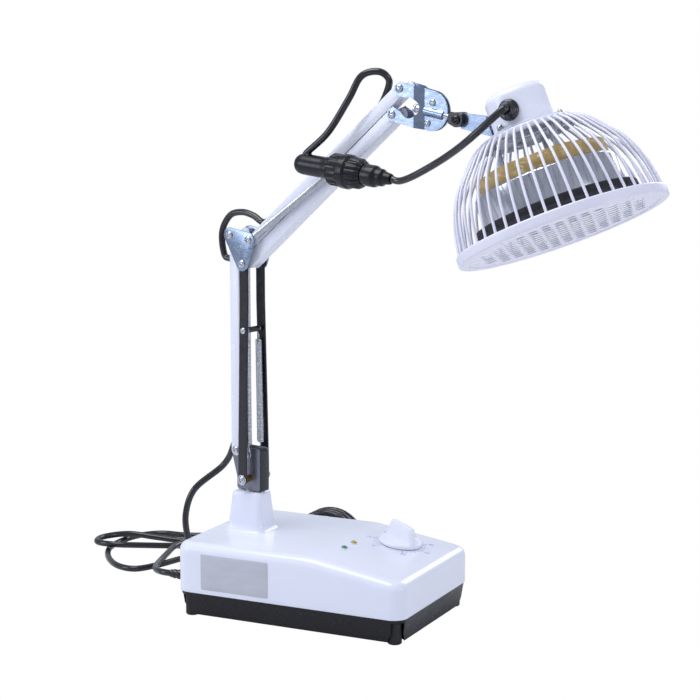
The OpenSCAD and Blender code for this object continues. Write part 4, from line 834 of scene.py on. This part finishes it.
class LAMP_OT_dial(bpy.types.Operator):
    """Timer knob, its printed scale and the two signal lenses"""
    bl_idname = "heat_lamp.dial"
    bl_label = "Timer knob and scale"

    def execute(self, context):
        at = deck(65, 30)
        skirt = lathe(rounded([(0, 0.6), (20.5, 0.6), (20.5, 3.0), (19.4, 4.4), (12, 5.2), (0, 5.6)], 0.9, 6), 144)
        rows = []
        for z, half_l, half_w in ((3, 20.0, 5.6), (4.6, 19.7, 5.0), (6.2, 19.2, 4.6), (9, 18.2, 4.3), (12, 17.1, 4.0),
                                  (15, 16.1, 3.75), (17.2, 15.4, 3.6), (18.4, 14.9, 3.3), (19.2, 14.2, 2.6),
                                  (19.6, 13.2, 1.7), (19.75, 12.0, 0.8)):
            flat = stadium(2 * half_l, 2 * half_w, half_w * 0.98, 96)
            rows.append(np.stack([flat[:, 0], flat[:, 1], np.full(96, z)], -1))
        wing = turned(grid(np.array(rows), caps=(True, True)), -26)
        mark = moved(slab(stadium(5.5, 0.9, 0.3, 24), 4.0, 5.15, 0.1, 2), (16.4, 0, 0))
        mark = turned(mark, -26)
        make("timer_knob_moulding", [skirt, wing, (*mark, 1)], [F["abs_knob"], F["ink"]], "timer", ("timer_knob",),
             "knob_abs", at, 34)

        ticks = []
        count = settings().tick_count
        for k, angle in enumerate(np.linspace(-240, 60, count)):
            long = k % 5 == 0
            tick = moved(slab(stadium(4.4 if long else 2.6, 0.7 if long else 0.45, 0.2, 16), 0.0, 0.06, 0.01, 2),
                         (24.4 if long else 23.6, 0, 0))
            ticks.append(turned(tick, -angle))
        make("printed_scale", ticks, F["ink"], "base", (), None, at)
        for k, angle in enumerate(np.linspace(-240, 60, 7)):
            text = bpy.data.curves.new("number", "FONT")
            text.body, text.size, text.extrude = str(10 * k), 5.2, 0.03
            text.align_x = text.align_y = "CENTER"
            maker = bpy.data.objects.new("number", text)
            context.scene.collection.objects.link(maker)
            context.view_layer.update()
            mesh = bpy.data.meshes.new_from_object(maker)
            bpy.data.objects.remove(maker)
            p = np.empty(len(mesh.vertices) * 3)
            mesh.vertices.foreach_get("co", p)
            a = math.radians(-angle)
            p = p.reshape(-1, 3) + [30.6 * math.cos(a), 30.6 * math.sin(a), 0.035]
            mesh.vertices.foreach_set("co", at(p).ravel())
            mesh.materials.clear()
            mesh.materials.append(F["ink"])
            number = bpy.data.objects.new(f"printed_number_{10 * k}", mesh)
            context.scene.collection.objects.link(number)
            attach(number, "base")

        for name, node, y, slot in (("green_lens", "heating_lamp_lens", -25, "green_lens"),
                                    ("yellow_lens", "timer_lamp_lens", -5, "yellow_lens")):
            dome = [(0, -6), (3, -6), (3, 0.7)]
            dome += [(3 * math.cos(a), 0.7 + 1.9 * math.sin(a)) for a in np.linspace(0.12, math.pi / 2, 8)]
            rim = lathe(rounded([(3.0, 0.0), (3.9, 0.0), (3.9, 0.5), (3.3, 0.8), (3.0, 0.8), (3.0, 0.0)], 0.2), 48)
            make(name, [lathe(dome, 48), (*rim, 1)], [F[name[:-5]], F["abs_white"]], "base", (node,), slot,
                 deck(34, y))
        return {"FINISHED"}


# ---------------------------------------------------------------- fasteners
def across(shell, at, v):
    """A shell turned about the upright axis laid across the arm: its height runs along v from the pivot at."""
    p = shell[0]
    return np.stack([at[0] + p[:, 0], v + p[:, 2], at[1] + p[:, 1]], -1), shell[1]


def cross_head(head_d, height):
    """A pan head with a cross recess: height falls off as a dome, less a plus-shaped pit with sloping walls."""
    r = head_d / 2
    profile = np.array([0, 0.12, 0.24, 0.36, 0.48, 0.6, 0.72, 0.84, 0.93, 0.98, 1.0]) * r
    t = np.linspace(0, 2 * math.pi, 48, endpoint=False)
    x, y = np.outer(profile, np.cos(t)), np.outer(profile, np.sin(t))
    z = height * (1 - (np.hypot(x, y) / r) ** 4 * 0.62)

    def bar(a, b):
        return np.clip((0.095 * head_d - np.abs(a)) / (0.03 * head_d), 0, 1) * \
            np.clip((0.33 * head_d - np.abs(b)) / (0.05 * head_d), 0, 1)
    z = z - 0.5 * height * np.maximum(bar(x, y), bar(y, x))
    top = np.stack([x, y, z], -1)
    foot = top[-1:].copy()
    foot[..., 2] = 0
    middle = np.zeros_like(foot)
    return grid(np.concatenate([top, foot, middle]))


def hex_nut(width, height):
    """A hexagon turned into a nut: rings of a six-sided outline whose corners are cut back at both faces."""
    t = np.linspace(0, 2 * math.pi, 48, endpoint=False)
    side = math.cos(math.pi / 6) / np.cos((t % (math.pi / 3)) - math.pi / 6)
    rows = []
    for k, z in ((0, 0), (0.9, 0), (1.0, 0.12 * height), (1.0, 0.8 * height), (0.88, height), (0.42, height),
                 (0.42, height * 0.6), (0, height * 0.6)):
        r = width / 2 * k * (side if k == 1.0 else np.minimum(side, 0.93))
        rows.append(np.stack([r * np.cos(t), r * np.sin(t), np.full(48, z)], -1))
    return grid(np.array(rows))


def pin(at, d, reach, head_d=7.0, height=2.2, spin=20):
    """A shank across the arm with a cross-recessed head on its near end and a nut on its far end."""
    end = reach + 0.7 * height
    shank = across(lathe([(0, -reach), (d / 2, -reach), (d / 2, end), (0, end)], 32), at, 0)
    top = turned(cross_head(head_d, height), spin)
    top = across((top[0] * [1, 1, -1], top[1]), at, -reach)
    return [shank, top, across(hex_nut(head_d * 1.04, height), at, reach)]


def ring_round(at, inner, outer, low, high, edge=0.3):
    """A washer or bush across the arm from low to high."""
    profile = [(inner, low), (outer, low), (outer, high), (inner, high), (inner, low)]
    return across(lathe(rounded(profile, edge), 40), at, 0)


# ---------------------------------------------------------------- bracket and lower arm
LOWER_ANCHOR = FRONT_LOW + [1.5, 23]
SPREADER = FRONT_LOW + [0, 142]


class LAMP_OT_bracket(bpy.types.Operator):
    """The turning bracket on the stem, and its pins"""
    bl_idname = "heat_lamp.bracket"
    bl_label = "Swivel bracket"

    def execute(self, context):
        t = np.radians(np.linspace(20, 180, 20))
        round_top = REAR_LOW + 6.5 * np.stack([np.cos(t), np.sin(t)], -1)
        cheek = np.concatenate([round_top, [[-16.5, 136.5], [-12, 120.5], [-12, 110.5], [-10.5, 109], [14.5, 109],
                                            [16, 110.5], [16, 147.2], [15.2, 149.2], [13.2, 150], [-5, 150]]])
        cheeks = both([slab(cheek, 5.5, 7, 0.35)])
        # The web takes black enamel while the cheeks of the same pressing are grey phosphated steel: this is painted
        # shade, standing for the channel's back lying in shadow.
        web = [slab(np.array([[14.6, 109], [16, 109], [16, 147], [14.6, 147]]), -6.6, 6.6, 0.2)]
        foot = [slab(np.array([[-11, 109], [14.5, 109], [14.5, 111], [-11, 111]]), -6.6, 6.6, 0.3)]
        make("bracket_pressing", cheeks + [(*s, 1) for s in web] + foot, [F["bracket"], F["enamel_black"]],
             "arm_bracket", ("swivel_bracket",), "bracket_steel")
        make("bracket_screws", pin(REAR_LOW, 4, 8.6, 7, 2.2) + pin(LOWER_ANCHOR, 3, 12.6, 6, 1.6, 50), F["zinc"],
             "arm_bracket", ("bracket_pins",), "zinc_steel")
        return {"FINISHED"}


def sprung(height, low, high, near, far):
    """Distance from the arm's plane of a strap that leans in between two heights."""
    return np.interp(height, [low, high], [near, far])


class LAMP_OT_lower_arm(bpy.types.Operator):
    """Black front straps, the white rear channel, their pins, bushes, washers and spreader"""
    bl_idname = "heat_lamp.lower_arm"
    bl_label = "Lower arm"

    def execute(self, context):
        f = np.concatenate([(1 - np.cos(np.linspace(0, math.pi / 2, 9))), [1]])
        z = np.concatenate([115.5 + 5 * f[:-1], np.linspace(122, 324, 60), 330.5 - 5 * f[:-1][::-1]])
        half = np.sqrt(np.clip(25 - np.clip(np.abs(z - np.clip(z, 120.5, 325.5)), 0, 5) ** 2, 0.16, None))
        outer = sprung(z, 134.5, 289.5, 17, 12.8)
        a = np.linspace(0, 2 * math.pi, 28, endpoint=False)
        section = np.stack([np.cos(a), np.sin(a)], -1)
        section = np.sign(section) * np.abs(section) ** 0.28
        p = np.stack([3 + half[:, None] * section[None, :, 0],
                      outer[:, None] - 1 + section[None, :, 1] * np.ones(len(z))[:, None],
                      np.repeat(z[:, None], 28, 1)], -1)
        make("strap_pair", both([grid(p, caps=(True, True))]), F["enamel_black"], "front_arm", ("front_straps",),
             "black_enamel")
        make("strap_screw", pin(FRONT_LOW, 4, 17.8, 7.6, 2.4, 35), F["zinc"], "front_arm", ("front_lower_pin",),
             "zinc_steel")
        make("bush_pair", both([ring_round(FRONT_LOW, 2, 3.5, 7.3, 15, 0.4)]), F["brass"], "front_arm",
             ("strap_bushes",), "brass_bush")
        make("washer_pair", both([ring_round(FRONT_LOW, 2, 5, 17, 17.8, 0.25)]), F["zinc"], "front_arm",
             ("strap_washers",), "zinc_steel")
        reach = 12.8 + 4.2 * (205 - 36 - 142) / (205 - 50)
        half = reach - 2.15
        bar = across(lathe(rounded([(0, -half), (2.7, -half), (2.7, half), (0, half)], 0.3), 40), SPREADER, 0)
        ends = pin(SPREADER, 3, reach + 0.15, 6, 1.8, 10)
        make("spreader_bar", [bar] + [(*s, 1) for s in ends], [F["enamel_black"], F["zinc"]], "front_arm",
             ("spring_spreader",), "black_steel")

        legs = both([slab(hull((*REAR_LOW, 5.5), (*REAR_TOP, 5.5)), 7.3, 8.5, 0.45)])
        web = slab(np.array([[-7.7, 170.5], [-6.5, 170.5], [-6.5, 351.5], [-7.7, 351.5]]), -8.05, 8.05, 0.3)
        make("rear_channel", legs + [web], F["coat_white"], "rear_arm", ("rear_link",), "white_enamel")
        return {"FINISHED"}


class LAMP_OT_elbow(bpy.types.Operator):
    """Blue-grey elbow plates, their three pins and the spacers between"""
    bl_idname = "heat_lamp.elbow"
    bl_label = "Elbow"

    def execute(self, context):
        outline = hull((*REAR_TOP, 7), (*FRONT_TOP, 7), (*OUTER, 7), count=144)
        make("elbow_plate_pair", both([slab(outline, 13.1, 14.7, 0.4)]), F["blue_zinc"], "elbow", ("elbow_plates",),
             "blue_zinc")
        screws = sum((pin(p, 4, 14.7, 7.4, 2.4, s) for p, s in ((REAR_TOP, 10), (FRONT_TOP, 55), (OUTER, 30))), [])
        make("elbow_screws", screws, F["zinc"], "elbow", ("elbow_pins",), "zinc_steel")
        tubes = [ring_round(REAR_TOP, 2, 3.2, 8.8, 13.1), ring_round(OUTER, 2, 3.2, 7.5, 13.1),
                 ring_round(FRONT_TOP, 2, 3.2, 7.5, 10.5)]
        make("elbow_spacer_set", both(tubes), F["zinc"], "elbow", ("elbow_spacers",), "zinc_steel")
        return {"FINISHED"}


class LAMP_OT_upper_arm(bpy.types.Operator):
    """The two white folded channels of the upper arm"""
    bl_idname = "heat_lamp.upper_arm"
    bl_label = "Upper arm"

    def execute(self, context):
        for name, node, body, low, high in (("main_channel", "lower_bar", "main_arm", FRONT_TOP, WRIST_LOW),
                                            ("guide_channel", "upper_bar", "guide_arm", OUTER, WRIST_HIGH)):
            legs = both([slab(hull((*low, 5.7), (*high, 5.7)), 6, 7.2, 0.45)])
            ends = [low - 5.7 * ABOVE, high - 5.7 * ABOVE, high - 4.5 * ABOVE, low - 4.5 * ABOVE]
            web = slab(np.array(ends), -6.75, 6.75, 0.3)
            make(name, legs + [web], F["coat_white"], body, (node,), "white_enamel")
        anchor = FRONT_TOP + 150 * ALONG
        make("spring_anchor", pin(anchor, 3, 7.2 + 0.5 + 3.4 + 4.4, 6, 1.6, 5), F["zinc"], "main_arm",
             ("upper_spring_pin",), "zinc_steel")
        return {"FINISHED"}


def coil_spring(a, b, radius, wire, turns, eye):
    """A close-wound spring between two pins: a round eye at each end, then a helix whose radius grows from the axis
    over half a turn at both ends: centre + r (cos t x + sin t y) + t/2pi pitch z."""
    a, b = np.array(a, float), np.array(b, float)
    z = (b - a) / np.linalg.norm(b - a)
    y = np.cross(z, [0, 1, 0])
    y /= np.linalg.norm(y)
    x = np.cross(y, z)
    reach = np.linalg.norm(b - a)
    body = turns * wire * 1.06
    free = (reach - body) / 2
    t = np.linspace(0, 2 * math.pi * turns, 14 * turns + 1)
    grow = np.clip(np.minimum(t, t[-1] - t) / math.pi, 0, 1)[:, None]
    helix = a + z * (free + body * t[:, None] / t[-1])
    helix = helix + radius * grow * (np.cos(t)[:, None] * x + np.sin(t)[:, None] * y)
    e = np.radians(np.linspace(-250, 40, 18))[:, None]
    loop = eye * (np.cos(e) * -y + np.sin(e) * z)
    start = np.concatenate([a + loop, [a + z * (free - 2.2) * 0.9 + 0.2 * y]])
    finish = b + eye * (np.cos(e[::-1]) * y - np.sin(e[::-1]) * z)
    finish = np.concatenate([[b - z * (free - 2.2) * 0.9 - 0.2 * y], finish])
    return tube(np.concatenate([start, helix, finish]), wire / 2, 8, x + 0.01)


class LAMP_OT_springs(bpy.types.Operator):
    """Two pairs of bright close-wound balance springs"""
    bl_idname = "heat_lamp.springs"
    bl_label = "Balance springs"

    def execute(self, context):
        turns = settings().spring_turns
        low, high = np.insert(LOWER_ANCHOR, 1, 8.4), np.insert(SPREADER, 1, 8.4)
        pair = both([coil_spring(low, high, 2.75, 1.2, turns, 2.2)])
        piece = make("lower_spring_pair", pair, F["spring"], None, ("lower_springs",), "spring_steel", crease=80,
                     ride=False)
        arm(low).tolist()
        arm(high).tolist()
        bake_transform(piece)
        top = np.insert(FRONT_TOP + 150 * ALONG, 1, 11.1)
        foot = np.insert(OUTER, 1, 11.1)
        pair = both([coil_spring(foot, top, 2.75, 1.2, int(turns * 1.18), 2.8)])
        piece = make("upper_spring_pair", pair, F["spring"], None, ("upper_springs",), "spring_steel", crease=80,
                     ride=False)
        arm(foot).tolist()
        arm(top).tolist()
        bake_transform(piece)
        return {"FINISHED"}


# ---------------------------------------------------------------- wrist and fork
def along_rod(shell):
    """A shell turned about the upright axis laid along the fork's rod."""
    p = shell[0]
    u = ROD_START + p[:, 2:] * ROD_ALONG + p[:, :1] * [-ROD_ALONG[1], ROD_ALONG[0]]
    return np.stack([u[:, 0], p[:, 1], u[:, 1]], -1), shell[1]


class LAMP_OT_wrist(bpy.types.Operator):
    """Creased clamp plates, their screws, the polished rod and the fork with its bolt"""
    bl_idname = "heat_lamp.wrist"
    bl_label = "Wrist and fork"

    def execute(self, context):
        dress(F["blue_zinc"], "wrist_plates")
        dress(F["enamel_black"], "tilt_fork")
        screws = pin(WRIST_LOW, 4, 9.1, 7.4, 2.4, 15) + pin(WRIST_HIGH, 4, 9.1, 7.4, 2.4, 50)
        screws += pin(CLAMP + [1.8, 6.9], 3, 2.5, 6, 2, 5) + pin(CLAMP + [-3.6, -10.6], 3, 2.5, 6, 2, 65)
        make("wrist_screw_set", screws, F["zinc"], "wrist", ("wrist_screws",), "zinc_steel")
        rod = rounded([(0, 0), (3.8, 0), (3.8, 2.5), (3, 2.5), (3, 41.3), (0, 41.3)], 0.6)
        make("polished_rod", [along_rod(lathe(rod, 56))], F["rod"], "fork", ("fork_rod",), "zinc_steel")
        make("tilt_screw", pin(TILT_PIVOT, 4, 6.5, 8, 2.6, 30), F["enamel_black"], "fork", ("tilt_bolt",),
             "black_steel")
        return {"FINISHED"}


# ---------------------------------------------------------------- head
CAP_R = 27.0
CAP_LOW = 92.0
WIRE_LINE = [(44.6, 87.6), (53, 81), (63, 70), (73, 58), (80, 44), (85, 27), (88, 9)]


class LAMP_OT_cap(bpy.types.Operator):
    """The head's bracket, white cap, wire ring and dome nuts"""
    bl_idname = "heat_lamp.cap"
    bl_label = "Head cap"

    def execute(self, context):
        sides = settings().lathe_sides
        dress(F["blue_zinc"], "head_bracket")
        dress(F["zinc"], "bracket_rivets")
        inside = [(0, 123.6), (20, 123.6), (24.6, 119), (24.6, CAP_LOW)]
        outside = [(33, CAP_LOW), (33, 93.6), (27.8, 93.6), (27, 94.4), (27, 119)]
        t = np.linspace(0, math.pi / 2, 10)[1:]
        dome = np.stack([20 + 7 * np.cos(t), 119 + 7 * np.sin(t)], -1)
        profile = np.concatenate([rounded(inside + outside, 0.5), dome, [(0, 126)]])
        make("enamelled_cap", [lathe(profile, sides)], F["coat_white"], "head", ("head_cap",), "white_enamel", head)
        ring = rounded([(21, 88.4), (42, 88.4), (42, 85), (43.6, 85), (43.6, 89), (42.6, 90), (21, 90), (21, 88.4)],
                       0.4)
        make("wire_ring", [lathe(ring, sides)], F["coat_guard"], "head", ("cage_ring",), "cage_white", head)
        nuts = []
        for angle in (40, 140, 260):
            dome = [(0, 99.2), (1.2, 98.9), (2.1, 98.2), (2.6, 97.2), (2.7, 96)]
            flat = turned(hex_nut(5.8, 2.4), 11)
            low = turned(hex_nut(6.4, 3.0), 20)
            for shell in (moved(flat, (0, 0, 93.6)), lathe(dome[::-1], 32), moved(low, (0, 0, 85.4)),
                          lathe([(0, 88), (1.5, 88), (1.5, 95), (0, 95)], 24)):
                nuts.append(turned(moved(shell, (CAP_R + 3.6, 0, 0)), angle))
        make("dome_nut_set", nuts, F["zinc"], "head", ("ring_nuts",), "zinc_steel", head)
        return {"FINISHED"}


class LAMP_OT_guard(bpy.types.Operator):
    """The white wires over the heater, the rim and the perforated plate"""
    bl_idname = "heat_lamp.guard"
    bl_label = "Wire guard"

    def execute(self, context):
        given = settings()
        line = curve([(x, 0, z) for x, z in WIRE_LINE], 4)
        wire = tube(line, given.wire_diameter * 500, 12, (0, 1, 0))
        wires = [turned(wire, (k + 0.5) * 360 / given.wires) for k in range(given.wires)]
        make("guard_wires", wires, F["coat_guard"], "head", ("cage_wires",), "cage_white", head, 50)

        rim = rounded([(83, 0), (90, 0), (91, 1), (91, 8), (90, 9), (86, 9), (85.4, 2.4), (83, 2.4), (83, 0)], 0.8, 6)
        points, faces = lathe(rim, given.lathe_sides)
        plate = bpy.data.curves.new("guard_plate", "CURVE")
        plate.dimensions = "2D"
        plate.fill_mode = "BOTH"
        plate.extrude = 0.45

        def loop(outline):
            spline = plate.splines.new("POLY")
            spline.points.add(len(outline) - 1)
            flat = np.concatenate([outline, np.zeros((len(outline), 1)), np.ones((len(outline), 1))], 1)
            spline.points.foreach_set("co", flat.ravel())
            spline.use_cyclic_u = True

        t = np.linspace(0, 2 * math.pi, given.lathe_sides, endpoint=False)
        loop(83.4 * np.stack([np.cos(t), np.sin(t)], -1))
        corner = np.radians(np.arange(6) * 60 + 30)
        hexagon = hull(*[(4.1 * math.cos(a), 4.1 * math.sin(a), 1.0) for a in corner], count=24)
        i, j = np.meshgrid(np.arange(-7, 8), np.arange(-7, 8), indexing="ij")
        at = 12.5 * np.stack([i + j / 2, j * math.sqrt(3) / 2], -1).reshape(-1, 2)
        for centre in at[np.linalg.norm(at, axis=1) < 74]:
            loop(hexagon + centre)
        flat = bpy.data.objects.new("guard_plate", plate)
        context.scene.collection.objects.link(flat)
        context.view_layer.update()
        filled = bpy.data.meshes.new_from_object(flat)
        bpy.data.objects.remove(flat)
        p = np.empty(len(filled.vertices) * 3)
        filled.vertices.foreach_get("co", p)
        sheet = (p.reshape(-1, 3) + [0, 0, 1.1], [list(f.vertices) for f in filled.polygons])
        make("guard_rim_and_plate", [(points, faces), sheet], F["coat_guard"], "head", ("guard_rim",), "rim_white",
             head, 40)
        return {"FINISHED"}


class LAMP_OT_heater(bpy.types.Operator):
    """Polished cup, mineral plate, clay element, glass-fibre band and posts"""
    bl_idname = "heat_lamp.heater"
    bl_label = "Heater"

    def execute(self, context):
        sides = settings().lathe_sides
        dress(F["clay"], "heating_element")
        dress(F["zinc"], "heater_posts")
        cup = rounded([(60, 22), (61, 22), (61, 47), (59, 49), (20, 49), (20, 48), (58.6, 48), (60, 46.6), (60, 22)],
                      0.7)
        make("spun_cup", [lathe(cup, sides)], F["cup"], "head", ("heater_cup",), "mirror_steel", head)
        disc = rounded([(0, 15.5), (67.5, 15.5), (70.5, 16.4), (70.5, 21), (69.5, 21.9), (55, 21.9), (55, 19), (0, 19)],
                       0.6)
        make("pressed_plate", [lathe(disc, sides)], F["mineral"], "head", ("mineral_plate",), "mineral", head)
        t = np.linspace(0, 2 * math.pi, 240, endpoint=False)
        rows = []
        for radius, levels in ((56.0, np.linspace(0, 1, 15)), (54.4, np.linspace(1, 0, 8))):
            for f in levels:
                belly = math.sin(math.pi * f)
                crumple = 1.3 * np.sin(9 * t + 4 * f) * belly * np.sin(3 * t + 2)
                rows.append((radius + crumple * 0.7 + 0.9 * belly, 49.1 + 12.6 * f + 0.5 * f * np.sin(7 * t)))
        band = np.stack([np.stack([r * np.cos(t), r * np.sin(t), h * np.ones(240)], -1) for r, h in rows])
        make("glass_fibre_band", [grid(band, True)], F["tape"], "head", ("insulation_band",), "glass_band", head, 60)
        return {"FINISHED"}


# ---------------------------------------------------------------- panel and start
class LAMP_PT_panel(bpy.types.Panel):
    """Sidebar page with the lamp's sizes and one button for each group of pieces"""
    bl_idname = "LAMP_PT_panel"
    bl_label = "Heat lamp"
    bl_space_type = "VIEW_3D"
    bl_region_type = "UI"
    bl_category = "Heat lamp"

    def draw(self, context):
        column = self.layout.column(align=True)
        for name in LampSettings.__annotations__:
            column.prop(context.scene.heat_lamp, name)
        for operator in OPERATORS:
            self.layout.operator(operator.bl_idname)


OPERATORS = (LAMP_OT_stage, LAMP_OT_tray, LAMP_OT_cover, LAMP_OT_label, LAMP_OT_dial, LAMP_OT_lead_fittings, LAMP_OT_leads,
             LAMP_OT_bracket, LAMP_OT_lower_arm, LAMP_OT_elbow, LAMP_OT_upper_arm, LAMP_OT_springs, LAMP_OT_wrist,
             LAMP_OT_cap, LAMP_OT_guard, LAMP_OT_heater)


def register():
    for group in (LampSettings, *OPERATORS, LAMP_PT_panel):
        bpy.utils.register_class(group)
    bpy.types.Scene.heat_lamp = bpy.props.PointerProperty(type=LampSettings)


def unregister():
    del bpy.types.Scene.heat_lamp
    for group in (LAMP_PT_panel, *OPERATORS[::-1], LampSettings):
        bpy.utils.unregister_class(group)


def main():
    """Registers the add-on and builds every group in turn."""
    register()
    mix_finishes()
    for operator in OPERATORS:
        getattr(bpy.ops.heat_lamp, operator.bl_idname.split(".")[1])()


if __name__ == "__main__":
    main()
